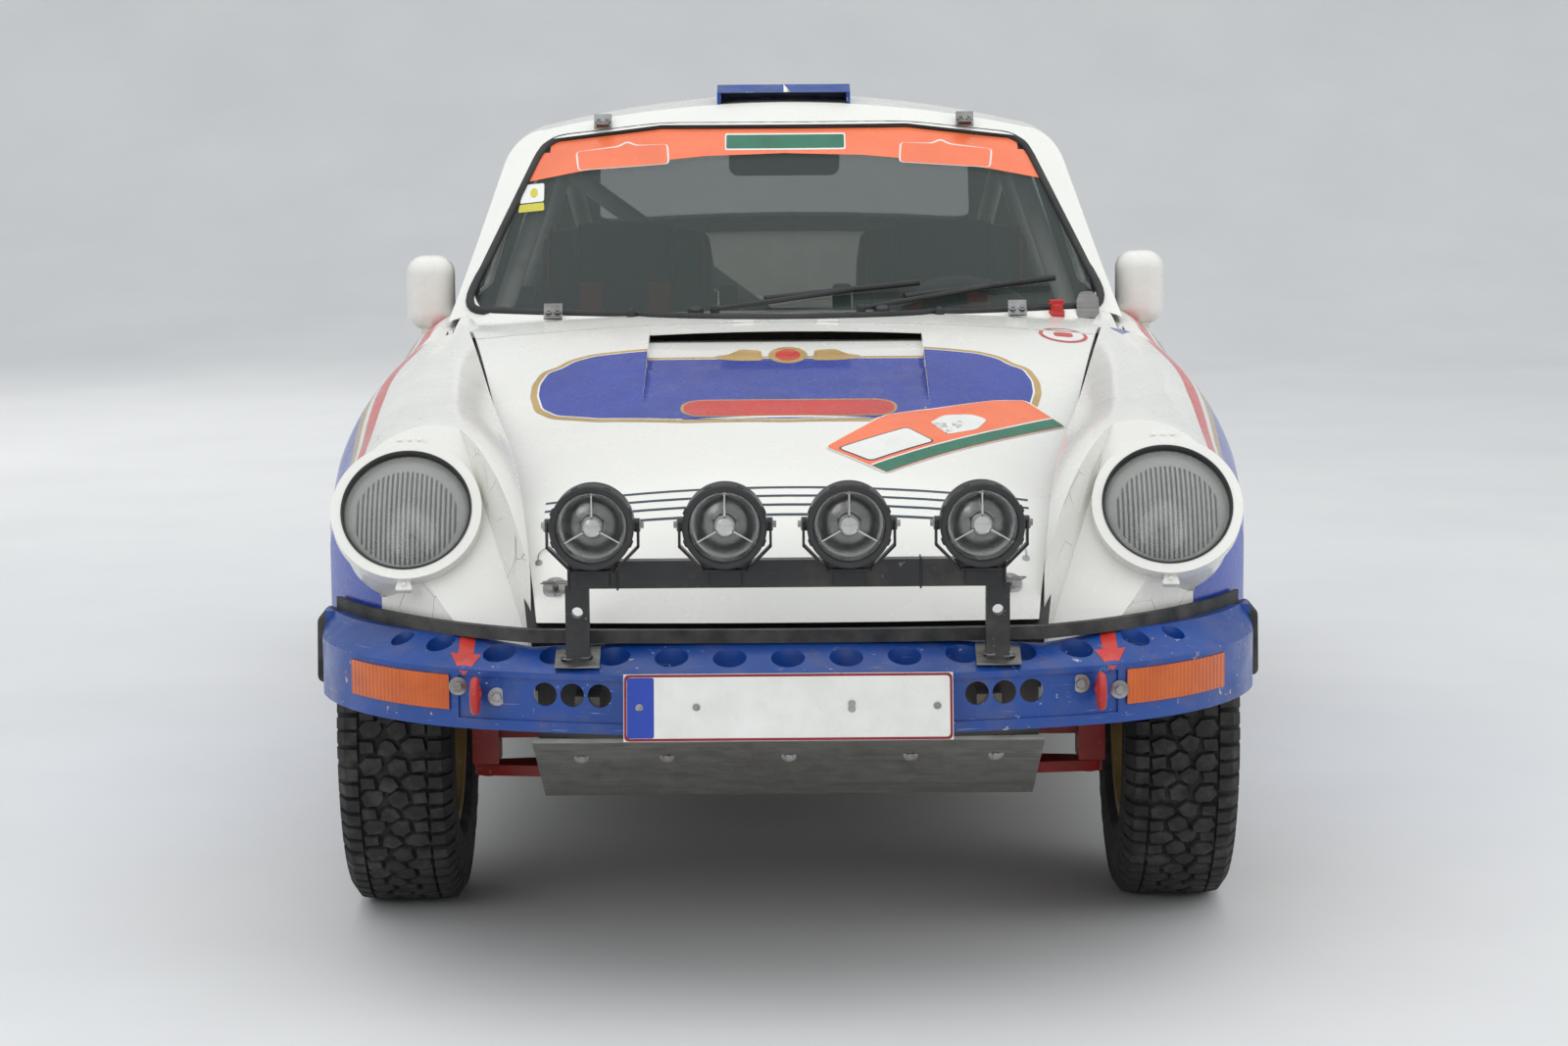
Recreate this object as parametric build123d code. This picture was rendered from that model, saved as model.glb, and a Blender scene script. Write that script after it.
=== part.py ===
from build123d import *
from collections import namedtuple
from math import cos, radians, sin, sqrt
import os

# Rear-engined 2+2 rally coupe. The nose points to -Y, the left side is +X, ground is Z = 0.

# Overall sizes
LENGTH = 4291.0
WHEELBASE = 2272.0
FRONT_OVERHANG = 925.0
BODY_WIDTH = 1652.0
RIDE_LIFT = 110.0
TRACK = 1380.0

# Wheels and tyres
TYRE_RADIUS = 335.0
TYRE_WIDTH = 205.0
RIM_RADIUS = 190.0
RIM_WIDTH = 168.0
SPOKES = 5
ARCH_RADIUS = 368.0
ARCH_HEIGHT = 330.0
STUB_RADIUS = 25.0
RUNNING_FIT = 0.05

# Skins, walls and gaps
SKIN = 12.0
WALL = 34.0
DOOR_THICK = 74.0
PANEL_GAP = 6.0
GLASS = 6.0
GLASS_SET = 9.0
REST_GAP = 0.3

# Derived places
HALF = BODY_WIDTH / 2
NOSE_Y = -LENGTH / 2
FRONT_AXLE_Y = NOSE_Y + FRONT_OVERHANG
REAR_AXLE_Y = FRONT_AXLE_Y + WHEELBASE
TAIL_Y = LENGTH / 2
WHEEL_X = TRACK / 2

# Cabin, hood and deck outlines, as distances behind the front axle or the rear axle
HOOD_FRONT = -763.0
HOOD_REAR = 328.0
HOOD_FRONT_HALF = 404.0
HOOD_REAR_HALF = 586.0
DOOR_FRONT = 415.0
DOOR_LENGTH = 1075.0
DOOR_BOTTOM = 245.0
BELT = 893.0
DECK_FRONT = 230.0
DECK_REAR = 868.0
DECK_FRONT_HALF = 415.0
DECK_REAR_HALF = 385.0

os.makedirs("parts", exist_ok=True)


# Helpers for points, arcs and prisms
def fy(along):
    return FRONT_AXLE_Y + along


def ry(along):
    return REAR_AXLE_Y + along


def up(height):
    return height + RIDE_LIFT


def outline(points, radius=0.0):
    if radius:
        return make_face(FilletPolyline(*points, radius=radius, close=True))
    return make_face(Polyline(*points, close=True))


def prism_x(points, x0, x1, radius=0.0):
    face = Plane.YZ.offset(x0) * outline(points, radius)
    return extrude(face, amount=x1 - x0, dir=(1, 0, 0))


def prism_y(points, y0, y1, radius=0.0):
    plane = Plane((0, y0, 0), x_dir=(1, 0, 0), z_dir=(0, -1, 0))
    return extrude(plane * outline(points, radius), amount=y1 - y0, dir=(0, 1, 0))


def prism_z(points, z0, z1, radius=0.0):
    face = Plane.XY.offset(z0) * outline(points, radius)
    return extrude(face, amount=z1 - z0, dir=(0, 0, 1))


def block(x0, x1, y0, y1, z0, z1):
    return Pos((x0 + x1) / 2, (y0 + y1) / 2, (z0 + z1) / 2) * Box(x1 - x0, y1 - y0, z1 - z0)


def rod(start, end, radius):
    a = Vector(*start)
    b = Vector(*end)
    plane = Plane(origin=a, z_dir=b - a)
    return plane * Cylinder(radius, (b - a).length, align=(Align.CENTER, Align.CENTER, Align.MIN))


def other_side(shape):
    return mirror(shape, about=Plane.YZ)


def save(name, shape):
    shapes = shape if isinstance(shape, list) else [shape]
    parts = [s for one in shapes for s in one.solids() if s.volume > 40.0]
    out = parts[0] if len(parts) == 1 else Compound(children=parts)
    out.label = name
    export_step(out, "parts/" + name + ".step")


# Body side sections: half widths as insets from the half width, heights at standard ride
Side = namedtuple("Side", "y sill_in sill_z wide_in wide_z shoulder_in shoulder_z edge_in edge_z")
SIDES = [
    Side(fy(-785), 86, 390, 46, 450, 86, 525, 450, 470),
    Side(fy(-505), 71, 340, 51, 530, 76, 690, 407, 648),
    Side(fy(-245), 52, 265, 24, 562, 73, 748, 366, 729),
    Side(fy(25), 36, 190, 0, 590, 69, 795, 318, 790),
    Side(fy(375), 36, 190, 6, 585, 69, 805, 251, 885),
    Side(fy(775), 31, 190, 14, 580, 43, 770, 168, BELT + 6),
    Side(fy(1135), 31, 190, 14, 580, 43, 770, 168, BELT + 6),
    Side(ry(-777), 31, 190, 14, 580, 43, 770, 168, BELT + 6),
    Side(ry(-347), 36, 190, 4, 585, 45, 778, 172, BELT + 4),
    Side(ry(0), 36, 200, 0, 590, 50, 780, 266, 875),
    Side(ry(403), 41, 310, 4, 580, 61, 740, 431, 845),
    Side(ry(703), 51, 390, 21, 560, 81, 680, 456, 750),
    Side(ry(1003), 66, 410, 51, 490, 101, 570, 466, 590),
]


def arc_turn(start, tangent, end):
    nx, nz = -tangent[1], tangent[0]
    cx, cz = end[0] - start[0], end[1] - start[1]
    reach = (cx * cx + cz * cz) / (2 * (cx * nx + cz * nz))
    centre = (start[0] + reach * nx, start[1] + reach * nz)
    return centre, reach


def toward(point, centre, reach, depth):
    ux = (point[0] - centre[0]) / reach
    uz = (point[1] - centre[1]) / reach
    return (point[0] - depth * ux, point[1] - depth * uz), (-uz, ux)


def side_wire(row, depth):
    wide = (HALF - row.wide_in, up(row.wide_z))
    shoulder = (HALF - row.shoulder_in, up(row.shoulder_z))
    edge = (HALF - row.edge_in, up(row.edge_z))
    sill = (HALF - row.sill_in, up(row.sill_z))
    c2, r2 = arc_turn(wide, (0, 1), shoulder)
    sh, turn = toward(shoulder, c2, r2, depth)
    c3, r3 = arc_turn(shoulder, turn, edge)
    ed, _ = toward(edge, c3, r3, depth)
    wd = (wide[0] - depth, wide[1])
    low = (sill[0] - depth, sill[1])

    def p(at):
        return Vector(at[0], row.y, at[1])

    arcs = [
        Edge.make_tangent_arc(p(wd), Vector(0, 0, 1), p(sh)),
        Edge.make_tangent_arc(p(sh), Vector(turn[0], 0, turn[1]), p(ed)),
    ]
    lower = Edge.make_tangent_arc(p(wd), Vector(0, 0, -1), p(low))
    if depth:
        reach = 70.0
        ends = [ed, (ed[0] - reach, ed[1]), (ed[0] - reach, low[1] - reach), (low[0], low[1] - reach), low]
    else:
        ends = [ed, (ed[0], low[1]), low]
    lines = [Edge.make_line(p(a), p(b)) for a, b in zip(ends, ends[1:])]
    return Wire(arcs + lines + [lower])


def side_solid(depth, rows):
    return Solid.make_loft([side_wire(row, depth) for row in rows])


# Greenhouse and rear deck sections, the same for both sides of the middle
Top = namedtuple("Top", "y base_x base_z rail_x rail_z corner_x corner_z crown_z")
TOPS = [
    Top(fy(-50), 676, 860, 580, 1110, 503, 1160, 1205),
    Top(fy(375), 676, 860, 578, 1140, 500, 1195, 1245),
    Top(fy(800), 676, 860, 576, 1168, 496, 1230, 1286),
    Top(fy(1225), 676, 860, 573, 1195, 492, 1262, 1320),
    Top(ry(-772), 674, 860, 570, 1184, 486, 1250, 1306),
    Top(ry(-497), 670, 860, 565, 1160, 478, 1222, 1268),
    Top(ry(-147), 655, 850, 545, 1062, 462, 1118, 1152),
    Top(ry(203), 640, 780, 508, 942, 440, 970, 985),
    Top(ry(553), 560, 660, 455, 805, 400, 832, 852),
    Top(ry(953), 500, 480, 425, 610, 375, 640, 655),
    Top(ry(1353), 440, 260, 385, 390, 340, 420, 432),
]


def top_wire(row, depth):
    lean = (row.base_x - row.rail_x, row.rail_z - row.base_z)
    size = sqrt(lean[0] ** 2 + lean[1] ** 2)
    out = (lean[1] / size, lean[0] / size)
    drop = 90.0 if depth else 0.0
    slope = lean[0] / lean[1]
    base = (row.base_x - depth * out[0] + drop * slope, up(row.base_z) - depth * out[1] - drop)
    rail = (row.rail_x - depth * out[0], up(row.rail_z) - depth * out[1])
    corner = (row.corner_x - depth * 0.45, up(row.corner_z) - depth * 0.89)
    crown = (0, up(row.crown_z) - depth)

    def p(at, side=1):
        return Vector(at[0] * side, row.y, at[1])

    bend = Vector(-lean[0], 0, lean[1])
    bend_other = Vector(lean[0], 0, lean[1])
    right = Edge.make_tangent_arc(p(rail, -1), bend_other, p(corner, -1))
    return Wire([
        Edge.make_line(p(base, -1), p(base)),
        Edge.make_line(p(base), p(rail)),
        Edge.make_tangent_arc(p(rail), bend, p(corner)),
        Edge.make_three_point_arc(p(corner), p(crown), p(corner, -1)),
        right,
        Edge.make_line(p(rail, -1), p(base, -1)),
    ])


def top_solid(depth):
    return Solid.make_loft([top_wire(row, depth) for row in TOPS])


# Hood and cowl block sections
Hood = namedtuple("Hood", "y half edge_z crown_z under_z")
HOODS = [
    Hood(fy(-800), 470, 440, 468, 340),
    Hood(fy(-745), 474, 510, 537, 345),
    Hood(fy(-505), 500, 660, 698, 360),
    Hood(fy(25), 580, 805, 852, 500),
    Hood(fy(375), 640, 885, 917, 600),
    Hood(fy(660), 660, 882, 914, 700),
    Hood(fy(940), 660, 878, 910, 700),
]


def hood_wire(row, depth):
    under = up(row.under_z) - (60.0 if depth else 0.0)
    edge = up(row.edge_z) - depth
    crown = up(row.crown_z) - depth

    def p(x, z):
        return Vector(x, row.y, z)

    return Wire([
        Edge.make_line(p(-row.half, under), p(row.half, under)),
        Edge.make_line(p(row.half, under), p(row.half, edge)),
        Edge.make_three_point_arc(p(row.half, edge), p(0, crown), p(-row.half, edge)),
        Edge.make_line(p(-row.half, edge), p(-row.half, under)),
    ])


def hood_solid(depth):
    return Solid.make_loft([hood_wire(row, depth) for row in HOODS])


# Plan curves of nose and tail
NOSE_CURVE = [(0, 139.0), (409, 158.0), (659, 349.0), (786, 568.0), (826, 900.0)]
TAIL_CURVE = [(0, 150.0), (430, 168.0), (660, 290.0), (770, 460.0), (826, 800.0)]


def plan_wire(curve, y_of, back, z, shift=0.0):
    pts = [Vector(x * HALF / 826.0, y_of(s) + shift, z) for x, s in curve]
    left = [Vector(-v.X, v.Y, v.Z) for v in pts]
    far_l = Vector(-HALF - 60, back, z)
    far_r = Vector(HALF + 60, back, z)
    mid = Edge.make_three_point_arc(left[1], pts[0], pts[1])
    e1 = Edge.make_three_point_arc(pts[1], pts[2], pts[3])
    e2 = Edge.make_line(pts[3], pts[4])
    e3 = Edge.make_line(pts[4], Vector(HALF + 60, pts[4].Y, z))
    e4 = Edge.make_line(Vector(HALF + 60, pts[4].Y, z), far_r)
    e5 = Edge.make_line(far_r, far_l)
    e6 = Edge.make_line(far_l, Vector(-HALF - 60, pts[4].Y, z))
    e7 = Edge.make_line(Vector(-HALF - 60, pts[4].Y, z), left[4])
    e8 = Edge.make_line(left[4], left[3])
    e9 = Edge.make_three_point_arc(left[3], left[2], left[1])
    return Wire([mid, e1, e2, e3, e4, e5, e6, e7, e8, e9])


def nose_s(s):
    return NOSE_Y + s


def tail_s(s):
    return TAIL_Y - s


def nose_space(shift=0.0, z0=100.0, z1=1700.0):
    face = Face(plan_wire(NOSE_CURVE, nose_s, fy(WHEELBASE), z0, shift))
    return Solid.extrude(face, Vector(0, 0, z1 - z0))


def tail_space(shift=0.0, z0=100.0, z1=1700.0):
    face = Face(plan_wire(TAIL_CURVE, tail_s, fy(0), z0, -shift))
    return Solid.extrude(face, Vector(0, 0, z1 - z0))


# Windscreen surface: a bowed curve in plan, swept back along the rake
SCREEN_Y = fy(405)
SCREEN_BOW = 1120.0
SCREEN_RAKE = (0.0, 540.0, 358.0)
SCREEN_BASE = up(914)


def ahead_of_screen(shift):
    low = SCREEN_BASE - 200.0
    back = (low - SCREEN_BASE) * SCREEN_RAKE[1] / SCREEN_RAKE[2]
    y = SCREEN_Y + back + shift
    half = 820.0
    sag = SCREEN_BOW - sqrt(SCREEN_BOW ** 2 - half ** 2)
    ahead = y - 900.0
    right = [Vector(half, y + sag, low), Vector(half, ahead, low)]
    ends = right + [Vector(-half, ahead, low), Vector(-half, y + sag, low)]
    bow = Edge.make_three_point_arc(ends[3], Vector(0, y, low), ends[0])
    rest = [Edge.make_line(a, b) for a, b in zip(ends, ends[1:])]
    rise = 800.0
    run = rise * SCREEN_RAKE[1] / SCREEN_RAKE[2]
    return Solid.extrude(Face(Wire([bow] + rest)), Vector(0, run, rise))


# Headlamp face: a plane leaning back through these two points, distances from the nose
LAMP_LOW = (270.0, 554.0)
LAMP_HIGH = (420.0, 784.0)
LAMP_X = 629.0
LAMP_RING = 125.0
LAMP_GLASS = 105.0
LAMP_SIDE = 497.0
LAMP_FLANK = 30.0
LAMP_LEAN = (LAMP_HIGH[0] - LAMP_LOW[0]) / (LAMP_HIGH[1] - LAMP_LOW[1])


def lamp_s(height):
    return LAMP_LOW[0] + (height - LAMP_LOW[1]) * LAMP_LEAN


def ahead_of_lamp(shift):
    low, high = 440.0, 900.0
    points = [
        (nose_s(lamp_s(low) + shift), up(low)),
        (nose_s(lamp_s(high) + shift), up(high)),
        (nose_s(-300), up(high)),
        (nose_s(-300), up(low)),
    ]
    flank = block(0, HALF + 300, -900, 900, 0, up(1000))
    flank = Pos(LAMP_SIDE - shift, nose_s(LAMP_MID[0]), 0) * Rot(0, 0, -LAMP_FLANK) * flank
    return prism_x(points, 300, HALF + 100) & flank


LAMP_MID = ((LAMP_LOW[0] + LAMP_HIGH[0]) / 2, (LAMP_LOW[1] + LAMP_HIGH[1]) / 2)
LAMP_PLANE = Plane(
    origin=(LAMP_X, nose_s(LAMP_MID[0]), up(LAMP_MID[1])),
    x_dir=(1, 0, 0),
    z_dir=(0, -1, LAMP_LEAN),
)

# Master solids of the body
side_outer = side_solid(0.0, SIDES)
side_inner = side_solid(SKIN, SIDES)
door_inner = side_solid(DOOR_THICK, SIDES[4:9])
top_outer = top_solid(0.0) - ahead_of_screen(0.0)
top_inner = top_solid(WALL) - ahead_of_screen(WALL * 1.8)
hood_outer = hood_solid(0.0)
hood_inner = hood_solid(SKIN)
hood_clear = hood_solid(SKIN + 7.0)
nose_outer = nose_space()
nose_inner = nose_space(SKIN)
tail_outer = tail_space()
tail_inner = tail_space(SKIN)

# Lines between panels
DOOR_INNER_X = 661.0
CREASE = (HOOD_REAR_HALF - HOOD_FRONT_HALF) / (HOOD_REAR - HOOD_FRONT)


def crease_x(along):
    return HOOD_FRONT_HALF + (along - HOOD_FRONT) * CREASE


def hood_outline(grow, front, rear, z0=up(200), z1=up(1100)):
    a = crease_x(front) + grow
    b = crease_x(rear) + grow
    return prism_z([(-a, fy(front)), (a, fy(front)), (b, fy(rear)), (-b, fy(rear))], z0, z1)


DOOR_REAR = DOOR_FRONT + DOOR_LENGTH


def door_outline(grow):
    pts = [
        (fy(DOOR_FRONT) - grow, up(DOOR_BOTTOM) - grow),
        (fy(DOOR_REAR) + grow, up(DOOR_BOTTOM) - grow),
        (fy(DOOR_REAR) + grow, up(BELT)),
        (fy(DOOR_REAR - 10) + grow, up(1214) + grow),
        (fy(DOOR_FRONT + 860), up(1222) + grow),
        (fy(DOOR_FRONT + 705) - grow * 0.5, up(1206) + grow),
        (fy(DOOR_FRONT + 300) - grow * 1.4, up(BELT + 4)),
        (fy(DOOR_FRONT) - grow, up(BELT - 30)),
    ]
    return prism_x(pts, 300, HALF + 60, radius=12)


DOOR_GLASS_OUTLINE = [
    (fy(DOOR_FRONT + 375), up(BELT + 16)),
    (fy(DOOR_REAR - 34), up(BELT + 16)),
    (fy(DOOR_REAR - 40), up(1184)),
    (fy(DOOR_FRONT + 862), up(1194)),
    (fy(DOOR_FRONT + 722), up(1178)),
]
QUARTER_GLASS_OUTLINE = [
    (fy(DOOR_REAR + 48), up(BELT + 20)),
    (ry(-165), up(BELT + 20)),
    (ry(-150), up(BELT + 60)),
    (ry(-330), up(1105)),
    (ry(-520), up(1168)),
    (fy(DOOR_REAR + 44), up(1184)),
]
REAR_GLASS_OUTLINE = [(-425, ry(-330)), (425, ry(-330)), (455, ry(168)), (-455, ry(168))]
SCREEN_RIGHT = [(640, up(914)), (497, up(1236)), (250, up(1266))]
SCREEN_OUTLINE = SCREEN_RIGHT + [(-x, z) for x, z in reversed(SCREEN_RIGHT)]
door_glass_hole = prism_x(DOOR_GLASS_OUTLINE, 300, HALF, radius=26)
quarter_glass_hole = prism_x(QUARTER_GLASS_OUTLINE, 300, HALF, radius=20)
rear_glass_hole = prism_z(REAR_GLASS_OUTLINE, up(840), up(1350), radius=60)
screen_hole = prism_y(SCREEN_OUTLINE, fy(250), fy(1140), radius=46)


def deck_outline(grow):
    a = DECK_FRONT_HALF + grow
    b = DECK_REAR_HALF + grow
    front, rear = ry(DECK_FRONT) - grow, ry(DECK_REAR) + grow
    return prism_z([(-a, front), (a, front), (b, rear), (-b, rear)], up(500), up(1200), radius=24)


def arch(axle_y, radius):
    round_part = Pos(HALF, axle_y, up(ARCH_HEIGHT)) * Rot(0, 90, 0) * Cylinder(radius, 160)
    leg = block(HALF - 80, HALF + 80, axle_y - radius, axle_y + radius, 0, up(ARCH_HEIGHT))
    return round_part + leg


# Front fender, open at the wheel arch and at the lamp
FENDER_REAR = DOOR_FRONT - PANEL_GAP - 3
fender_zone = block(0, HALF + 60, fy(-900), fy(FENDER_REAR), 100, 1400)
fender_full = (side_outer & fender_zone) & nose_outer
fender_full = fender_full - ahead_of_lamp(0.0)
fender_core = side_inner & block(0, HALF + 60, fy(-900), fy(900), 0, 1400)
fender_hollow = (fender_core & nose_inner) - ahead_of_lamp(SKIN)
fender = fender_full - fender_hollow
fender = fender - hood_outline(PANEL_GAP, -850, 700)
fender = fender - arch(FRONT_AXLE_Y, ARCH_RADIUS)
fender = fender - LAMP_PLANE * Cylinder(LAMP_RING - 12, 200)
front_fender_left = fender

# Hood with a ramp intake that faces forward
hood = (hood_outer - hood_inner) & hood_outline(0, HOOD_FRONT - 30, HOOD_REAR)
HOOD_LOW_Z = 626.0
hood = (hood & nose_outer) - block(-HALF, HALF, NOSE_Y - 20, nose_s(300), 0, HOOD_LOW_Z)
RAMP_HALF = 255.0
RAMP_FRONT_Y = fy(-210)
RAMP_REAR_Y = fy(265)
RAMP_FRONT_Z = up(786)
RAMP_REAR_Z = up(880)
SLOT_LIP = 3.0
SLOT_LONG = 45.0
HOOD_ABOVE = up(1000)


def ramp_profile(below):
    return [
        (RAMP_FRONT_Y, HOOD_ABOVE),
        (RAMP_FRONT_Y, RAMP_FRONT_Z - below),
        (RAMP_REAR_Y, RAMP_REAR_Z - below),
        (RAMP_REAR_Y, HOOD_ABOVE),
    ]


ramp_cut = prism_x(ramp_profile(0.0), -RAMP_HALF, RAMP_HALF)
tray_half = RAMP_HALF + SKIN
ramp_tray = prism_x(ramp_profile(SKIN), -tray_half, tray_half) & hood_outer
slot_end = RAMP_REAR_Y + SLOT_LONG
slot_zone = block(-RAMP_HALF, RAMP_HALF, RAMP_REAR_Y - 1, slot_end, RAMP_REAR_Z, HOOD_ABOVE)
slot_cut = slot_zone & (Pos(0, 0, -SLOT_LIP) * hood_outer)
slot_floor = block(-tray_half, tray_half, RAMP_REAR_Y - 1, slot_end, RAMP_REAR_Z - SKIN, RAMP_REAR_Z)
hood = (hood + [ramp_tray, slot_floor]) - [ramp_cut, slot_cut]

# Hinge knuckles of the two lids, in the gap beside the panel
HINGE_RADIUS = PANEL_GAP / 2 - REST_GAP
HINGE_OUT = 80.0


def hinge_knuckles(y, z, panel_edge):
    parts = []
    for x in (-HINGE_OUT, HINGE_OUT):
        parts.append(rod((x - 20, y, z), (x + 20, y, z), HINGE_RADIUS))
        parts.append(block(x - 20, x + 20, min(y, panel_edge), max(y, panel_edge), z - 2, z + 2))
    return parts


hood = hood + hinge_knuckles(fy(HOOD_REAR + PANEL_GAP / 2), up(913.5), fy(HOOD_REAR - 2))

# Cowl between hood and windscreen
cowl = (hood_outer - hood_inner) & hood_outline(0, HOOD_REAR + PANEL_GAP, 700)
cowl = cowl - [side_outer, other_side(side_outer), top_inner]
cowl_zone = block(0, DOOR_INNER_X - 24, fy(FENDER_REAR), fy(720), up(700), up(1000))
cowl_side = (side_outer & cowl_zone) - side_inner
cowl = cowl + [cowl_side, other_side(cowl_side)]

# Door: lower slab and upper window frame
door_zone = door_outline(0.0)
door_low = ((side_outer - door_inner) & door_zone) - block(0, DOOR_INNER_X, fy(0), ry(0), 0, up(1300))
door_end = fy(DOOR_REAR)
swing_bevel = [(HALF - 14, door_end), (500, door_end - 54), (500, door_end + 60), (HALF - 14, door_end + 60)]
door_low = door_low - prism_z(swing_bevel, up(100), up(BELT - 60))
frame_depth = 16.0
top_frame = top_solid(frame_depth)
door_high = ((top_outer - top_frame) & door_zone) - door_glass_hole
door_high = door_high - block(0, HALF, fy(0), fy(DOOR_REAR + 50), 0, up(BELT - 22))
door_left = door_low + door_high


# Door handle, a pull bar proud of the skin
HANDLE_SET = 48.0
HANDLE_LONG = 132.0
HANDLE_PROUD = 16.0


def handle_zone(inset):
    y0, y1 = fy(DOOR_REAR - HANDLE_SET - HANDLE_LONG), fy(DOOR_REAR - HANDLE_SET)
    return block(765, HALF + 40, y0 + inset, y1 - inset, up(BELT - 88), up(BELT - 68))


handle = handle_zone(0.0) & (Pos(HANDLE_PROUD, 0, 0) * side_outer)
handle = handle - ((handle_zone(22.0) & (Pos(HANDLE_PROUD - 8, 0, 0) * side_outer)) - side_outer)
door_left = door_left + handle

# Roof, pillars and rear deck in one shell
roof = (top_outer & tail_outer) - (top_inner & tail_inner)
grown = door_outline(PANEL_GAP + 3)
holes = [grown, other_side(grown), quarter_glass_hole, other_side(quarter_glass_hole)]
roof = roof - holes - screen_hole - rear_glass_hole - deck_outline(PANEL_GAP)
below_roof = block(-HALF, HALF, fy(300), TAIL_Y, 0, up(470))
roof = roof - [side_outer, other_side(side_outer), hood_outer, below_roof]

# Engine lid
top_lid = top_solid(14.0)
engine_lid = ((top_outer - top_lid) & deck_outline(0.0)) & tail_outer
slots = []
for row in range(9):
    y = ry(DECK_FRONT + 28 + row * 22)
    slots.append(block(-300, 300, y, y + 11, up(700), up(1100)))
lid_hinges = hinge_knuckles(ry(DECK_FRONT - PANEL_GAP / 2), up(969.5), ry(DECK_FRONT + 2))
engine_lid = engine_lid - slots + lid_hinges

# Rear quarter panel
quarter_zone = block(0, HALF + 60, fy(DOOR_REAR + PANEL_GAP + 3), TAIL_Y + 50, 100, 1400)
quarter = ((side_outer & quarter_zone) & tail_outer) - (side_inner & tail_inner)
quarter = quarter - top_inner - deck_outline(PANEL_GAP)
quarter = quarter - arch(REAR_AXLE_Y, ARCH_RADIUS - 8)

# Glass set a little below the outer faces
glass_out = top_solid(GLASS_SET)
glass_in = top_solid(GLASS_SET + GLASS)
glass_skin = glass_out - glass_in


def shrink(points, by):
    cx = sum(q[0] for q in points) / len(points)
    cy = sum(q[1] for q in points) / len(points)
    out = []
    for q in points:
        dx, dy = q[0] - cx, q[1] - cy
        size = sqrt(dx * dx + dy * dy)
        out.append((q[0] - dx / size * by, q[1] - dy / size * by))
    return out


door_glass = glass_skin & prism_x(shrink(DOOR_GLASS_OUTLINE, REST_GAP), 300, HALF, radius=26)
quarter_glass = glass_skin & prism_x(shrink(QUARTER_GLASS_OUTLINE, REST_GAP), 300, HALF, radius=20)
rear_window = glass_skin & prism_z(shrink(REAR_GLASS_OUTLINE, REST_GAP), up(840), up(1350), radius=60)
rear_window = rear_window & block(-700, 700, ry(-400), ry(250), up(840), up(1350))
screen_skin = ahead_of_screen((GLASS_SET + GLASS) * 1.8) - ahead_of_screen(GLASS_SET * 1.8)
screen_cut = prism_y(shrink(SCREEN_OUTLINE, REST_GAP), fy(250), fy(1140), radius=46)
windscreen = (screen_skin & screen_cut) - hood_outer

# Floor, sills and inner walls of the tub
BULKHEAD = 422.0
FLOOR = up(190)
SHEET = 12.0
BAY_HALF = 385.0
BAY_FRONT = -620.0
BAY_FLOOR = up(320)
REAR_WALL = -199.0
REAR_HALF = 500.0
SHELF = up(790)
BEAM_Z = up(425)
MUFFLER_Y = 820.0
MUFFLER_Z = up(230)
MUFFLER_RADIUS = 88.0
KINGPIN_X = 550.0
TOWER_Z = up(745)
ROD_RADIUS = 11.0
DOOR_REAR_GAP = fy(DOOR_REAR + PANEL_GAP + 3)
SILL_TOP = up(DOOR_BOTTOM - 8)


def full_width(half):
    return half + other_side(half)


def pair(shape):
    return [shape, other_side(shape)]


bulkhead_y = fy(BULKHEAD)
bulkhead_back = bulkhead_y + SHEET
wall_y = ry(REAR_WALL)
wall_back = wall_y + SHEET
floor_half = block(0, 645, bulkhead_back, ry(-420), FLOOR, FLOOR + SHEET) + [
    block(0, REAR_HALF, ry(-420), wall_y, FLOOR, FLOOR + SHEET),
    block(60, 90, bulkhead_back, wall_y, FLOOR + SHEET, FLOOR + 140),
    block(0, 90, bulkhead_back, wall_y, FLOOR + 128, FLOOR + 140),
]
seat_step = block(90, REAR_HALF, ry(-600), wall_y, up(360), up(372))
seat_step = seat_step + block(90, REAR_HALF, ry(-600), ry(-588), FLOOR + SHEET, up(360))
floor_pan = [full_width(floor_half)] + pair(seat_step)

# Sills with the sockets of a side-lift jack
JACK_RADIUS = 14.0
JACK_OUT = HALF - 26.0
JACK_DEEP = 104.0
jack_y = fy(DOOR_FRONT + 700)
jack_z = FLOOR + 23
jack_end = JACK_OUT - JACK_DEEP
sill = (side_outer & block(645, HALF + 20, bulkhead_y, DOOR_REAR_GAP, FLOOR, SILL_TOP)) + [
    side_inner & block(645, HALF + 20, DOOR_REAR_GAP, ry(-368), FLOOR, SILL_TOP),
    rod((JACK_OUT - 50, jack_y, jack_z), (JACK_OUT, jack_y, jack_z), JACK_RADIUS + 7),
]
sill = sill - rod((jack_end, jack_y, jack_z), (JACK_OUT + 10, jack_y, jack_z), JACK_RADIUS)

# Front bulkhead and the luggage bay ahead of it
bulkhead = block(0, 640, bulkhead_y, bulkhead_back, FLOOR, up(800))
bulkhead = bulkhead + (block(0, 585, bulkhead_y, bulkhead_back, up(790), up(960)) & hood_inner)
bay_front_y = fy(BAY_FRONT) + SHEET
bay_floor = block(-BAY_HALF, BAY_HALF, bay_front_y, bulkhead_y, BAY_FLOOR, BAY_FLOOR + SHEET)
bay_wall = block(BAY_HALF, BAY_HALF + SHEET, fy(BAY_FRONT), bulkhead_y, BAY_FLOOR, up(1000)) & hood_clear
bay_front = block(-BAY_HALF, BAY_HALF, fy(BAY_FRONT), bay_front_y, BAY_FLOOR, up(1000)) & hood_clear
luggage_bay = [full_width(bulkhead), bay_floor, bay_front] + pair(bay_wall)
tower = block(BAY_HALF + SHEET, KINGPIN_X + 40, fy(-50), fy(50), TOWER_Z, TOWER_Z + SHEET)
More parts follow.
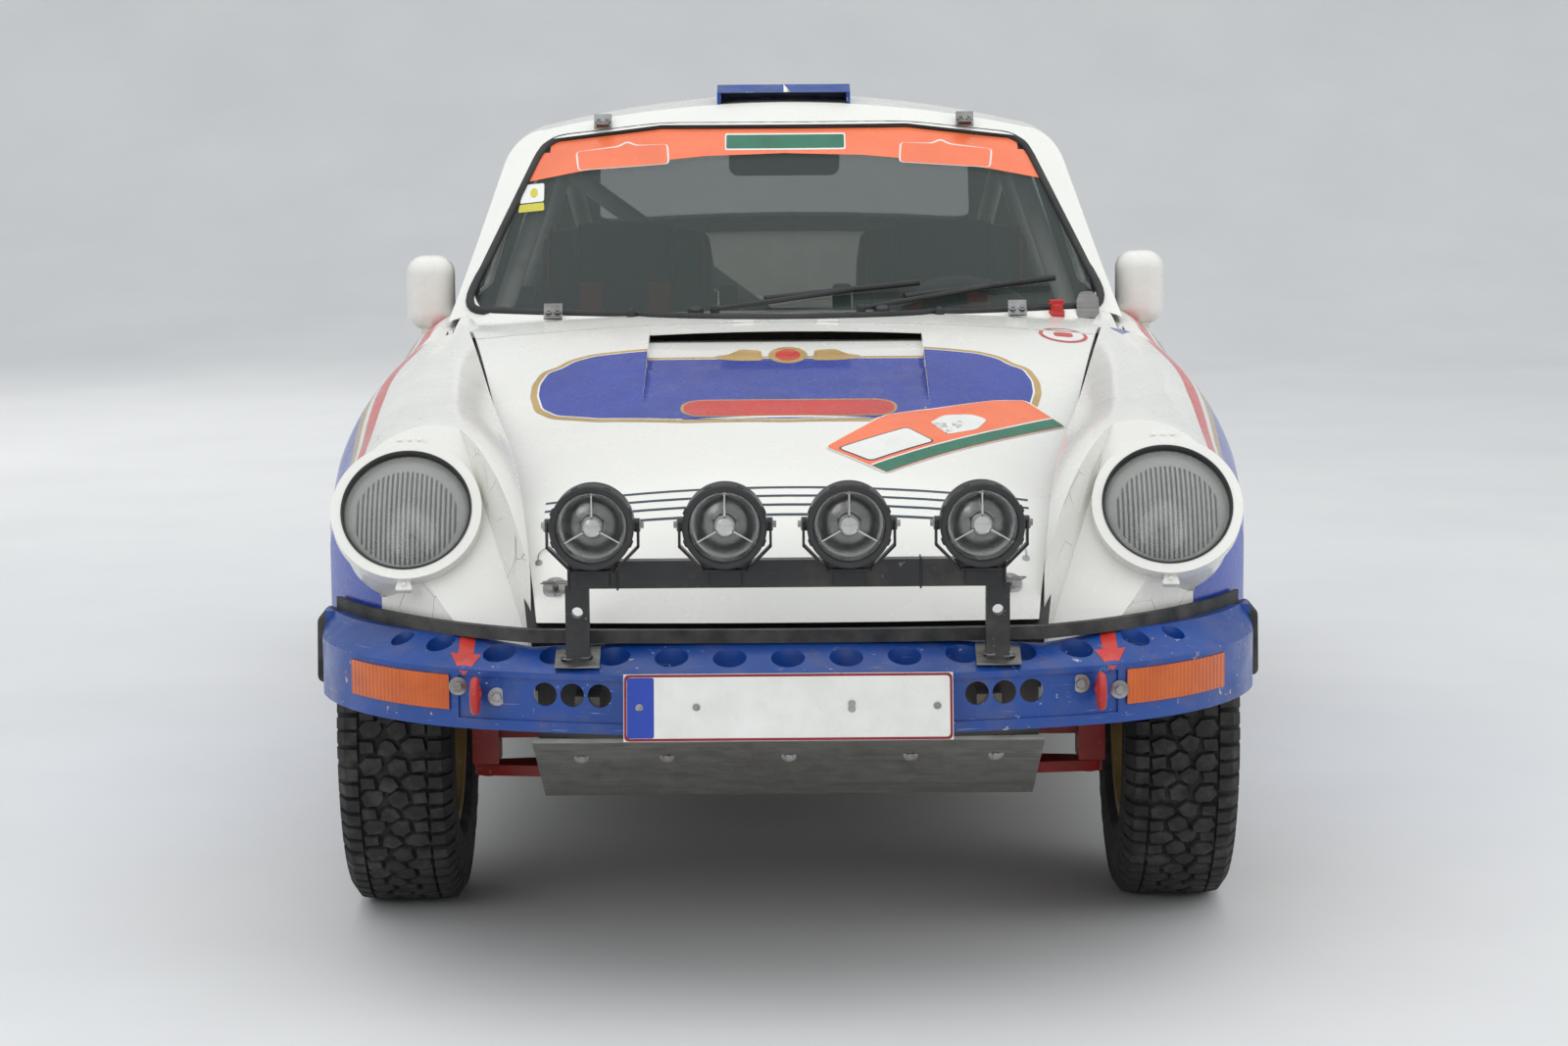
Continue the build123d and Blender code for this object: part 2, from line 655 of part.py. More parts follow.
tower = tower - Pos(KINGPIN_X, fy(0), TOWER_Z) * Cylinder(ROD_RADIUS + RUNNING_FIT, 60)

# Walls round the engine bay and the rails behind
rear_wall = block(-REAR_HALF, REAR_HALF, wall_y, wall_back, FLOOR, SHELF)
shelf = block(-REAR_HALF, REAR_HALF, wall_y, ry(181), SHELF, SHELF + SHEET)
upper_wall = block(-470, 470, ry(181), ry(181) + SHEET, SHELF, up(1000)) & top_inner
side_wall = block(REAR_HALF, REAR_HALF + SHEET, ry(-420), wall_back, FLOOR, up(800))
side_wall = side_wall + block(REAR_HALF, REAR_HALF + SHEET, wall_y, ry(430), up(310), up(800))
arch_wall = block(REAR_HALF + SHEET, 645, ry(-420), ry(-408), FLOOR, up(500))
rear_bulkhead = [rear_wall, shelf, upper_wall] + pair(side_wall) + pair(arch_wall)
rear_rail = block(440, 480, wall_back, ry(1000), BEAM_Z, BEAM_Z + 40) & tail_inner
cross_rail = block(-440, 440, ry(700), ry(MUFFLER_Y + 10), BEAM_Z, BEAM_Z + 40)
rear_rails = [cross_rail] + pair(rear_rail)


# Wheels and tyres, built round the X axis
def lathe(points, radius=0.0):
    plane = Plane((0, 0, 0), x_dir=(1, 0, 0), z_dir=(0, -1, 0))
    return revolve(plane * outline(points, radius), axis=Axis.X)


half_w = TYRE_WIDTH / 2
bead = RIM_WIDTH / 2 - 7.7 - REST_GAP
tyre = lathe([
    (-bead, RIM_RADIUS), (-bead, RIM_RADIUS + 13), (-half_w + 9, RIM_RADIUS + 24),
    (-half_w, RIM_RADIUS + 62), (-half_w + 2, TYRE_RADIUS - 30), (-half_w + 18, TYRE_RADIUS - 4),
    (-half_w + 44, TYRE_RADIUS), (half_w - 44, TYRE_RADIUS),
    (half_w - 18, TYRE_RADIUS - 4), (half_w - 2, TYRE_RADIUS - 30), (half_w, RIM_RADIUS + 62),
    (half_w - 9, RIM_RADIUS + 24), (bead, RIM_RADIUS + 13), (bead, RIM_RADIUS),
])
flange = RIM_WIDTH / 2
rim_in = RIM_RADIUS - 11
rim = lathe([
    (-flange, rim_in), (-flange, RIM_RADIUS + 12), (-flange + 7, RIM_RADIUS + 12),
    (-flange + 7.7, RIM_RADIUS - 0.3), (flange - 7.7, RIM_RADIUS - 0.3), (flange - 7, RIM_RADIUS + 12),
    (flange, RIM_RADIUS + 12), (flange, rim_in),
    (flange - 14, rim_in - 6), (flange - 60, rim_in - 6), (0, rim_in - 2), (-flange + 10, rim_in),
])
DISC_X = 28.0
disc = lathe([
    (-30, STUB_RADIUS + RUNNING_FIT), (-30, 58), (DISC_X - 8, 74), (DISC_X, 120), (DISC_X + 6, rim_in - 3),
    (DISC_X + 24, rim_in - 3), (DISC_X + 22, 120), (DISC_X + 8, 70), (DISC_X + 8, STUB_RADIUS + RUNNING_FIT),
])
window_half = [(20, 92), (52, rim_in - 22), (26, rim_in - 10)]
windows = []
for spoke in range(SPOKES):
    turn = 360.0 / SPOKES * (spoke + 0.5)
    window = Plane.YZ * outline(window_half + [(-y, z) for y, z in reversed(window_half)], 9)
    windows.append(Rot(turn, 0, 0) * extrude(window, amount=80, both=True))
bolts = []
for bolt in range(SPOKES):
    turn = 360.0 / SPOKES * bolt
    bolts.append(Rot(turn, 0, 0) * Pos(DISC_X + 12, 0, 60) * Rot(0, 90, 0) * Cylinder(9, 24))
cap = Pos(DISC_X + 14, 0, 0) * Rot(0, 90, 0) * Cylinder(32, 20)
wheel = rim + [disc - windows, cap] + bolts

# Knuckle with its strut, the stub axle and the lower pin
HUB_Z = TYRE_RADIUS
ARM_Z = 226.0
knuckle = block(KINGPIN_X - 22, KINGPIN_X + 26, fy(-42), fy(42), ARM_Z + 24, HUB_Z + 90)
knuckle = knuckle + rod((KINGPIN_X, fy(0), HUB_Z), (WHEEL_X + DISC_X - 2, fy(0), HUB_Z), STUB_RADIUS)
knuckle = knuckle + rod((KINGPIN_X, fy(0), ARM_Z - 4), (KINGPIN_X, fy(0), ARM_Z + 30), 14.0)
knuckle = knuckle + rod((KINGPIN_X, fy(0), HUB_Z + 80), (KINGPIN_X, fy(0), TOWER_Z - 40), 23.0)
knuckle = knuckle + rod((KINGPIN_X, fy(0), TOWER_Z - 60), (KINGPIN_X, fy(0), TOWER_Z + 24), ROD_RADIUS)
knuckle = knuckle + block(KINGPIN_X - 90, KINGPIN_X, fy(30), fy(48), HUB_Z - 50, HUB_Z - 30)

# Front cross member with both control arms
ARM_THICK = 20.0
arm_end = KINGPIN_X + 24
arm_line = [(250, fy(-70)), (arm_end, fy(-24)), (arm_end, fy(24)), (250, fy(70))]
arm = prism_z(arm_line, ARM_Z, ARM_Z + ARM_THICK, radius=14)
arm = arm - Pos(KINGPIN_X, fy(0), ARM_Z) * Cylinder(14.0 + RUNNING_FIT, 80)
member = block(0, 330, fy(-45), fy(45), ARM_Z, ARM_Z + 70) + arm
member = member + block(255, 315, fy(-45), fy(45), ARM_Z + 60, BAY_FLOOR)
front_arms = member + other_side(member)

# Rear trailing arms with the torsion tube and stub axles
pivot_y = ry(-400)
PIVOT_RADIUS = 44.0
pivot_z = FLOOR - PIVOT_RADIUS - REST_GAP
rear_arm = rod((0, pivot_y, pivot_z), (540, pivot_y, pivot_z), PIVOT_RADIUS)
arm_front = pivot_y - 40
arm_side = [(arm_front, pivot_z - 24), (arm_front, pivot_z + 22), (ry(40), HUB_Z + 45), (ry(50), HUB_Z - 45)]
rear_arm = rear_arm + prism_x(arm_side, 518, 550, radius=10)
rear_arm = rear_arm + rod((530, ry(0), HUB_Z), (WHEEL_X + DISC_X - 2, ry(0), HUB_Z), STUB_RADIUS)
rear_arm = rear_arm + rod((300, ry(0), HUB_Z + 15), (540, ry(0), HUB_Z), 18.0)
rear_axle = rear_arm + other_side(rear_arm)

# Engine as one plain block between the rear rails, with the gearbox ahead of it
engine_block = block(-430, 430, ry(300), ry(700), up(190), up(500))
engine_block = engine_block + block(-110, 110, ry(-180), ry(300), up(200), up(400))
engine_block = engine_block + block(-220, 220, ry(330), ry(640), up(500), up(730))

# Muffler
muffler = rod((-330, ry(MUFFLER_Y), MUFFLER_Z), (330, ry(MUFFLER_Y), MUFFLER_Z), MUFFLER_RADIUS)
muffler = muffler + rod((180, ry(MUFFLER_Y), MUFFLER_Z - 15), (180, ry(1060), MUFFLER_Z - 25), 30.0)
hanger_low = MUFFLER_Z + MUFFLER_RADIUS - 20
hanger = block(240, 262, ry(MUFFLER_Y - 20), ry(MUFFLER_Y), hanger_low, BEAM_Z - REST_GAP)
muffler = muffler + [hanger, other_side(hanger)]
muffler = muffler - rod((180, ry(900), up(212)), (180, ry(1070), up(205)), 26.0)


# Bumpers: a plan curve from a short table, three arcs a side
def bumper_band(curve, y_of, z0, z1, inset0, inset1):
    wires = []
    for z, inset in ((z0, inset0), (z1, inset1)):
        pts = [Vector(x * HALF / 826.0, y_of(s + inset), z) for x, s in curve]
        left = [Vector(-v.X, v.Y, v.Z) for v in pts]
        back = y_of(curve[3][1] + 40.0 + inset0)
        wires.append(Wire([
            Edge.make_three_point_arc(left[1], pts[0], pts[1]),
            Edge.make_three_point_arc(pts[1], pts[2], pts[3]),
            Edge.make_line(pts[3], Vector(pts[3].X, back, z)),
            Edge.make_line(Vector(pts[3].X, back, z), Vector(left[3].X, back, z)),
            Edge.make_line(Vector(left[3].X, back, z), left[3]),
            Edge.make_three_point_arc(left[3], left[2], left[1]),
        ]))
    if inset0 == inset1:
        return Solid.extrude(Face(wires[0]), Vector(0, 0, z1 - z0))
    return Solid.make_loft(wires, ruled=True)


BUMPER_CURVE = [(0, 20.0), (477, 94.0), (677, 222.0), (786, 432.0)]
BUMPER_LOW = up(357)
BUMPER_EDGE = up(453)
BUMPER_TOP = up(491)
BUMPER_DEEP = 100.0
bar_low = bumper_band(BUMPER_CURVE, nose_s, BUMPER_LOW, BUMPER_EDGE, 0, 0)
bar_top = bumper_band(BUMPER_CURVE, nose_s, BUMPER_EDGE, BUMPER_TOP, 0, BUMPER_DEEP)
hollow_low = bumper_band(BUMPER_CURVE, nose_s, BUMPER_LOW - 20, BUMPER_EDGE - 8, 8, 8)
STRIP_CURVE = NOSE_CURVE[:4]
NOSE_CLEAR = 8.0
bar_back = bumper_band(STRIP_CURVE, nose_s, BUMPER_LOW - 30, BUMPER_TOP + 40, -NOSE_CLEAR, -NOSE_CLEAR)
front_bumper = (bar_low + bar_top) - [hollow_low, bar_back]
FACE_RECESS = 4.0
recess = bumper_band(BUMPER_CURVE, nose_s, BUMPER_LOW + 17, BUMPER_EDGE - 10, -6, -6)
recess = recess - bumper_band(BUMPER_CURVE, nose_s, BUMPER_LOW, BUMPER_EDGE, FACE_RECESS, FACE_RECESS)
recess = recess & block(-530, 530, NOSE_Y - 10, nose_s(300), BUMPER_LOW, BUMPER_EDGE)
bumper_face = bar_low - recess
front_bumper = front_bumper - recess
HOLE_COUNT = 15
HOLE_RADIUS = 27.0
HOLE_PITCH = 93.0
bumper_holes = []
for k in range(HOLE_COUNT):
    x = (k - (HOLE_COUNT - 1) / 2) * HOLE_PITCH
    if abs(x) < 500:
        s = 20 + 74 * (x / 477.0) ** 2 + 54
        bumper_holes.append(Pos(x, nose_s(s), BUMPER_TOP - 10) * Cylinder(HOLE_RADIUS, 90))
END_HOLES = ((565.0, 205.0, 24.0), (632.0, 252.0, 19.0))
for side in (-1, 1):
    for k in range(3):
        face_hole = Rot(90, 0, 0) * Cylinder(19, 160)
        bumper_holes.append(Pos(side * (300 + 44 * k), nose_s(60), up(418)) * face_hole)
    for x, s, radius in END_HOLES:
        bumper_holes.append(Pos(side * x, nose_s(s), BUMPER_TOP - 10) * Cylinder(radius, 90))
front_bumper = front_bumper - bumper_holes
strip_top = BUMPER_TOP + 21
strip_face = -NOSE_CLEAR - 18
strip_space = bumper_band(STRIP_CURVE, nose_s, BUMPER_TOP - 5, strip_top + 5, -NOSE_CLEAR, -NOSE_CLEAR)
bumper_strip = bumper_band(STRIP_CURVE, nose_s, BUMPER_TOP, strip_top, strip_face, strip_face) - strip_space
bumper_strip = bumper_strip & block(-HALF, HALF, NOSE_Y, nose_s(500), BUMPER_LOW, strip_top + 5)

# Indicators let into the bumper corners
INDICATOR = (545.0, 720.0, up(386), up(443))


def indicator_zone(grow):
    x0, x1, z0, z1 = INDICATOR
    return block(x0 - grow, x1 + grow, nose_s(40), nose_s(380), z0 - grow, z1 + grow)


bumper_wall = bumper_band(BUMPER_CURVE, nose_s, BUMPER_LOW + 5, BUMPER_EDGE - 2, -4, -4)
bumper_wall = bumper_wall - bumper_band(BUMPER_CURVE, nose_s, BUMPER_LOW, BUMPER_EDGE, 8, 8)
front_bumper = front_bumper - [indicator_zone(0.0), other_side(indicator_zone(0.0))]
indicator = bumper_wall & indicator_zone(-REST_GAP)
indicators = [indicator, other_side(indicator)]

# Nose panel behind the bumper, with bumper brackets and rails to the bay
BAY_FRONT_Y = fy(BAY_FRONT)
nose_band = (nose_outer - nose_inner) & block(-405, 405, NOSE_Y, fy(0), up(330), up(462))
nose_rail = block(BAY_HALF, BAY_HALF + SHEET, nose_s(155), BAY_FRONT_Y, up(370), up(430)) & nose_inner
bracket = (block(300, 340, NOSE_Y, nose_s(200), up(375), up(415)) & hollow_low) - nose_outer
nose_panel = nose_band + [nose_rail, other_side(nose_rail), bracket, other_side(bracket)]

# Number plate, leaning back on the bumper, with a small holder
PLATE_HALF = 260.0
plate_side = [(nose_s(-10), up(356)), (nose_s(-6), up(356)), (nose_s(18), up(459)), (nose_s(14), up(459))]
number_plate = prism_x(plate_side, -PLATE_HALF, PLATE_HALF)
plate_rest = prism_x(
    [(nose_s(-3), up(370)), (nose_s(3), up(394)), (nose_s(60), up(394)), (nose_s(60), up(370))], -60, 60
)
number_plate = number_plate + (plate_rest - bumper_face)

# Tow loops on the bumper face
loop = Pos(499, nose_s(66), up(417)) * Rot(0, 90, 0) * Torus(24, 7)
loop = loop + (rod((499, nose_s(84), up(417)), (499, nose_s(140), up(417)), 9.0) - bumper_face)
tow_loops = [loop, other_side(loop)]

# Skid plate under the nose, folded from sheet
SKID_HALF = 415.0
SKID_REAR_HALF = 368.0
skid_line = [(150, 440), (450, 290), (FRONT_OVERHANG - 100, ARM_Z), (FRONT_OVERHANG + 45, ARM_Z)]
skid_points = [(nose_s(s), z) for s, z in skid_line] + [(nose_s(s), z - 7) for s, z in reversed(skid_line)]
skid_right = [(SKID_HALF, nose_s(100)), (SKID_HALF, nose_s(470)), (SKID_REAR_HALF, nose_s(560))]
skid_right.append((SKID_REAR_HALF, fy(60)))
skid_plan = skid_right + [(-x, y) for x, y in reversed(skid_right)]
skid_plate = prism_x(skid_points, -SKID_HALF, SKID_HALF) & prism_z(skid_plan, 100, 500)

# Headlamps on the leaning lamp face
LENS_BOW = 262.0
ring = Cylinder(LAMP_RING, 26, align=(Align.CENTER, Align.CENTER, Align.MIN))
cup = Pos(0, 0, -86) * Cylinder(LAMP_RING - 12.3, 86, align=(Align.CENTER, Align.CENTER, Align.MIN))
bowl = Pos(0, 0, -76) * Cone(40, LAMP_GLASS, 84, align=(Align.CENTER, Align.CENTER, Align.MIN))
mouth = Pos(0, 0, 8) * Cylinder(LAMP_GLASS, 40, align=(Align.CENTER, Align.CENTER, Align.MIN))
lamp_shell = (ring + cup) - [bowl, mouth]
lens_ball = Pos(0, 0, 36 - LENS_BOW) * (Sphere(LENS_BOW) - Sphere(LENS_BOW - 5))
lens = lens_ball & Pos(0, 0, 8) * Cylinder(LAMP_GLASS, 40, align=(Align.CENTER, Align.CENTER, Align.MIN))
lamp_shell = LAMP_PLANE * lamp_shell
lens = LAMP_PLANE * lens
headlamps = [lamp_shell, other_side(lamp_shell)]
headlamp_lenses = [lens, other_side(lens)]

# Lamp bar with four auxiliary lamps
AUX_XS = (-307.0, -98.0, 98.0, 307.0)
AUX_Z = up(693)
AUX_RADIUS = 66.0
BAR_Z0, BAR_Z1 = up(587), up(631)
BAR_S0, BAR_S1 = 76.0, 104.0
AUX_BOWL = [(42, 0), (42, 18), (6, 56), (0, 57)]
AUX_CASE = [(0, 62), (5, AUX_RADIUS), (58, AUX_RADIUS), (62, 61), (84, 46), (90, 20), (90, 0)]
aux_lamps = []
for x in AUX_XS:
    lamp = lathe(AUX_BOWL + AUX_CASE)
    lamp = Pos(x, nose_s(12), AUX_Z) * Rot(0, 0, 90) * lamp
    yoke = block(x - 24, x + 24, nose_s(64), nose_s(BAR_S0), BAR_Z0 + 4, AUX_Z - 40)
    aux_lamps.append(lamp + yoke)
bar_tube = block(-348, 348, nose_s(BAR_S0), nose_s(BAR_S1), BAR_Z0, BAR_Z1)
leg = block(316, 354, nose_s(BAR_S0 + 2), nose_s(BAR_S1), up(440), BAR_Z0 + 5)
foot = (Pos(0, 0, 9) * bar_top) & block(300, 372, nose_s(60), nose_s(118), up(440), up(560))
bar_feet = foot - [bar_top, bar_low]
leg = leg - [Pos(0, 0, 9) * bar_top, bar_low, bar_top]
leg = leg - Pos(335, nose_s(90), up(548)) * Rot(90, 0, 0) * Cylinder(9, 80)
lamp_bar = bar_tube + [leg, other_side(leg)]
lamp_feet = [bar_feet, other_side(bar_feet)]

# Rear bumper, tail lamps
REAR_CURVE = [(0, 10.0), (477, 62.0), (690, 200.0), (790, 420.0)]
REAR_LOW, REAR_TOP = up(410), up(550)
rear_bumper = bumper_band(REAR_CURVE, tail_s, REAR_LOW, REAR_TOP, 0, 0)
rear_hollow = bumper_band(REAR_CURVE, tail_s, REAR_LOW - 20, REAR_TOP - 8, 8, 8)
rear_bumper = rear_bumper - [rear_hollow, tail_space(-18)]
stay = (block(300, 340, ry(850), TAIL_Y, up(470), up(520)) & rear_hollow) - tail_outer
rear_bumper = rear_bumper + [stay, other_side(stay)]
tail_lamp = (tail_space(-14) - tail_outer) & block(430, 778, ry(400), TAIL_Y, up(560), up(650))
tail_lamps = [tail_lamp, other_side(tail_lamp)]

# Door mirrors
MIRROR_X = 722.0
MIRROR_Z = up(933)
MIRROR_WIDE = 98.0
MIRROR_HIGH = 150.0
mirror_case = Pos(MIRROR_X, fy(880), MIRROR_Z) * Box(MIRROR_WIDE, 80, MIRROR_HIGH)
mirror_case = fillet(mirror_case.edges(), 36)
mirror_foot = block(690, 742, fy(862), fy(898), up(850), MIRROR_Z - MIRROR_HIGH / 2 + 12)
mirror_left = (mirror_case + mirror_foot) - [side_outer, top_outer]

# Roof scoop, open to the front
SCOOP_HALF = 137.0
scoop_side = [(1930, 1380), (1930, 1440), (1990, 1455), (2140, 1438), (2140, 1380)]
mouth_side = [(1900, 1380), (1900, 1434), (1990, 1447), (2080, 1440), (2080, 1380)]
scoop = prism_x([(nose_s(s), z) for s, z in scoop_side], -SCOOP_HALF, SCOOP_HALF)
scoop = scoop - prism_x([(nose_s(s), z) for s, z in mouth_side], 8 - SCOOP_HALF, SCOOP_HALF - 8)
roof_scoop = scoop - top_outer


# Wiper arms lying just ahead of the screen
def screen_point(x, z, off):
    bow = SCREEN_BOW - sqrt(SCREEN_BOW ** 2 - x * x)
    return (x, SCREEN_Y + (z - SCREEN_BASE) * SCREEN_RAKE[1] / SCREEN_RAKE[2] + bow - off, z)


wipers = []
for pivot, tip in ((-135, 130), (145, 400)):
    hub = (pivot, screen_point(pivot, up(930), 20)[1], up(930))
    arm_end = screen_point(tip, up(962), 14)
    blade = [screen_point(tip - 170, up(948), 12), screen_point(tip + 130, up(972), 12)]
    piece = rod((hub[0], hub[1], up(902)), hub, 9.0) + [rod(hub, arm_end, 5.0), rod(blade[0], blade[1], 6.0)]
    piece = piece + [Pos(*hub) * Sphere(9), rod(arm_end, [(a + b) / 2 for a, b in zip(*blade)], 5.0)]
    wipers.append(piece - hood_outer)

# Seats: two buckets with bolsters
SEAT_X = 350.0
base_low = [(fy(955), FLOOR + SHEET), (fy(1390), FLOOR + SHEET)]
base_high = [(fy(1450), up(330)), (fy(1400), up(372)), (fy(955), up(405))]
seat_base = prism_x(base_low + base_high, SEAT_X - 205, SEAT_X + 205, radius=28)
BACK_SIDE = [(1395, 300), (1480, 300), (1620, 1010), (1545, 1040), (1480, 960), (1375, 400)]
WING_SIDE = [(990, 260), (1470, 260), (1590, 880), (1500, 905), (1330, 520), (990, 470)]
seat_back = prism_x([(fy(a), up(h)) for a, h in BACK_SIDE], SEAT_X - 205, SEAT_X + 205, radius=26)
wing = prism_x([(fy(a), up(h)) for a, h in WING_SIDE], SEAT_X - 245, SEAT_X - 200, radius=20)
seat = seat_base + [seat_back, wing, Pos(445, 0, 0) * wing]
seats = [seat, other_side(seat)]

# Roll cage of welded tubes
CAGE_RADIUS = 20.0
HOOP_Y = ry(-597)


def cage_run(points):
    run = [rod(a, b, CAGE_RADIUS) for a, b in zip(points, points[1:])]
    knots = [Pos(*q) * Sphere(CAGE_RADIUS + 1.5) for q in points[1:-1]]
    return run + knots


FLOOR_TOP = FLOOR + SHEET
hoop_corner = (488, HOOP_Y, up(1172))
front_leg = [(588, fy(520), FLOOR_TOP), (588, fy(560), up(700)), (572, fy(760), up(890))]
front_leg.append((492, fy(1150), up(1166)))
half_cage = cage_run([(588, HOOP_Y, FLOOR_TOP), (588, HOOP_Y, up(830)), hoop_corner, (0, HOOP_Y, up(1215))])
half_cage += cage_run(front_leg + [hoop_corner])
half_cage += cage_run([hoop_corner, (430, ry(-70), SHELF + SHEET)])
roll_cage = half_cage[0] + half_cage[1:]
diagonal = rod((-480, HOOP_Y, up(1140)), (580, HOOP_Y, up(360)), CAGE_RADIUS)
belt_bar = rod((-575, HOOP_Y, up(760)), (575, HOOP_Y, up(760)), CAGE_RADIUS)
roll_cage = roll_cage + [other_side(roll_cage), diagonal, belt_bar]
shelf_top = block(-HALF, HALF, ry(REAR_WALL), ry(180), FLOOR, SHELF + SHEET)
roll_cage = roll_cage - [shelf_top, block(-HALF, HALF, fy(400), ry(-500), 0, FLOOR_TOP)]

# Dashboard, column and steering wheel
dash_y = fy(BULKHEAD) + SHEET
dash_low = [(dash_y, up(700)), (fy(560), up(690)), (fy(650), up(730))]
dash_high = [(fy(680), up(800)), (fy(600), up(850)), (dash_y, up(850))]
dashboard = prism_x(dash_low + dash_high, -545, 545)
WHEEL_MID = Vector(SEAT_X, fy(830), up(790))
WHEEL_TILT = Vector(0, cos(radians(22)), sin(radians(22)))
column_end = WHEEL_MID - WHEEL_TILT * 60
column = rod(column_end - WHEEL_TILT * 150, column_end, 24.0)
column = column - rod(column_end - WHEEL_TILT * 40, column_end + WHEEL_TILT * 10, 9.0 + RUNNING_FIT)
dashboard = dashboard + column
hand_plane = Plane(origin=WHEEL_MID, x_dir=(1, 0, 0), z_dir=WHEEL_TILT)
HAND_RADIUS = 175.0
hand_wheel = Torus(HAND_RADIUS, 14) + [Pos(0, 0, -24) * Cylinder(46, 30)]
for turn in (0, 120, 240):
    spoke_arm = Pos(HAND_RADIUS / 2 + 10, 0, -10) * Box(HAND_RADIUS - 20, 30, 8)
    hand_wheel = hand_wheel + Rot(0, 0, turn + 90) * spoke_arm
hand_wheel = hand_wheel + Pos(0, 0, -62) * Cylinder(9.0, 60)
steering_wheel = hand_plane * hand_wheel

# Interior mirror under the roof header
inside_mirror = Pos(0, fy(1090), up(1185)) * Box(230, 18, 58)
inside_mirror = fillet(inside_mirror.edges().filter_by(Axis.Y), 20)
mirror_stem = (block(-12, 12, fy(1085), fy(1105), up(1200), up(1320)) & top_inner) - screen_skin
inside_mirror = inside_mirror + mirror_stem

# Placing wheels and saving each node
left_wheel = Pos(WHEEL_X, 0, HUB_Z) * wheel
left_tyre = Pos(WHEEL_X, 0, HUB_Z) * tyre
nodes = {
    "floor_pan": floor_pan,
    "sills": pair(sill),
    "luggage_bay": luggage_bay,
    "strut_towers": pair(tower),
    "rear_bulkhead": rear_bulkhead,
    "rear_rails": rear_rails,
    "front_fender_left": front_fender_left,
    "front_fender_right": other_side(front_fender_left),
    "hood": hood,
    "cowl": cowl,
    "roof": roof,
    "engine_lid": engine_lid,
    "rear_quarter_left": quarter,
    "rear_quarter_right": other_side(quarter),
    "door_left": door_left,
    "door_right": other_side(door_left),
    "door_glass_left": door_glass,
    "door_glass_right": other_side(door_glass),
    "door_mirror_left": mirror_left,
    "door_mirror_right": other_side(mirror_left),
    "windscreen": windscreen,
    "rear_window": rear_window,
    "quarter_windows": [quarter_glass, other_side(quarter_glass)],
    "front_bumper": front_bumper,
    "bumper_strip": bumper_strip,
    "indicators": indicators,
    "nose_panel": nose_panel,
    "number_plate": number_plate,
    "tow_loops": tow_loops,
    "skid_plate": skid_plate,
    "headlamps": headlamps,
    "headlamp_lenses": headlamp_lenses,
    "auxiliary_lamps": aux_lamps,
    "lamp_bar": lamp_bar,
    "lamp_feet": lamp_feet,
    "rear_bumper": rear_bumper,
    "tail_lamps": tail_lamps,
    "roof_scoop": roof_scoop,
    "wipers": wipers,
    "seats": seats,
    "roll_cage": roll_cage,
    "dashboard": dashboard,
    "steering_wheel": steering_wheel,
    "inside_mirror": inside_mirror,
    "engine_block": engine_block,
    "muffler": muffler,
    "front_arms": front_arms,
    "rear_axle": rear_axle,
    "knuckle_left": knuckle,
    "knuckle_right": other_side(knuckle),
}
for end, axle_y in (("front", FRONT_AXLE_Y), ("rear", REAR_AXLE_Y)):
    for kind, shape in (("wheel", left_wheel), ("tyre", left_tyre)):
        nodes[kind + "_" + end + "_left"] = Pos(0, axle_y, 0) * shape
        nodes[kind + "_" + end + "_right"] = other_side(Pos(0, axle_y, 0) * shape)
for name, shape in nodes.items():
    save(name, shape)
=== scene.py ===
import bpy
import bmesh
from math import sin, cos, pi, sqrt, radians, atan2
from mathutils import Vector, Matrix
from mathutils.bvhtree import BVHTree


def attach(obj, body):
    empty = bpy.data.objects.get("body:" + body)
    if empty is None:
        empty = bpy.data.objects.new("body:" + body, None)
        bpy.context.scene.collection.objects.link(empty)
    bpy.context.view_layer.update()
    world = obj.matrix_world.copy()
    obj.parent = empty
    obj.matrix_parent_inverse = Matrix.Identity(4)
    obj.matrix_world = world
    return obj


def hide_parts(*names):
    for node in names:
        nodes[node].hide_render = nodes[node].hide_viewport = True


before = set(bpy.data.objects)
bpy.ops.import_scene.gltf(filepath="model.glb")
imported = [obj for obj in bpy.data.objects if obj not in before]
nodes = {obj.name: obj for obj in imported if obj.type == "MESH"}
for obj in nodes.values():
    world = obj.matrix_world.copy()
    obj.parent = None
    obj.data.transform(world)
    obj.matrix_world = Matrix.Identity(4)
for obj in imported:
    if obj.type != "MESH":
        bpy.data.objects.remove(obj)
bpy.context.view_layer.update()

# Places along the car, in metres: the bumper face, the front axle, the rear axle and the tail
NOSE, FRONT, REAR, TAIL = -2.1455, -1.2205, 1.0515, 2.1455
# The middle of the left headlamp, the cosine of its lean, and the y where the fender turns round it
LAMP_X, LAMP_Z, LAMP_LEAN, LAMP_END = 0.629, 0.779, 0.838, -1.62
SIDES = (("left", 1), ("right", -1))


def at(s):
    """The y of a place, from its distance behind the bumper face."""
    return NOSE + s


def front_y(mm):
    return FRONT + mm / 1000


def rear_y(mm):
    return REAR + mm / 1000


def placed(name, data):
    """A new object in the scene."""
    ob = bpy.data.objects.new(name, data)
    bpy.context.scene.collection.objects.link(ob)
    return ob


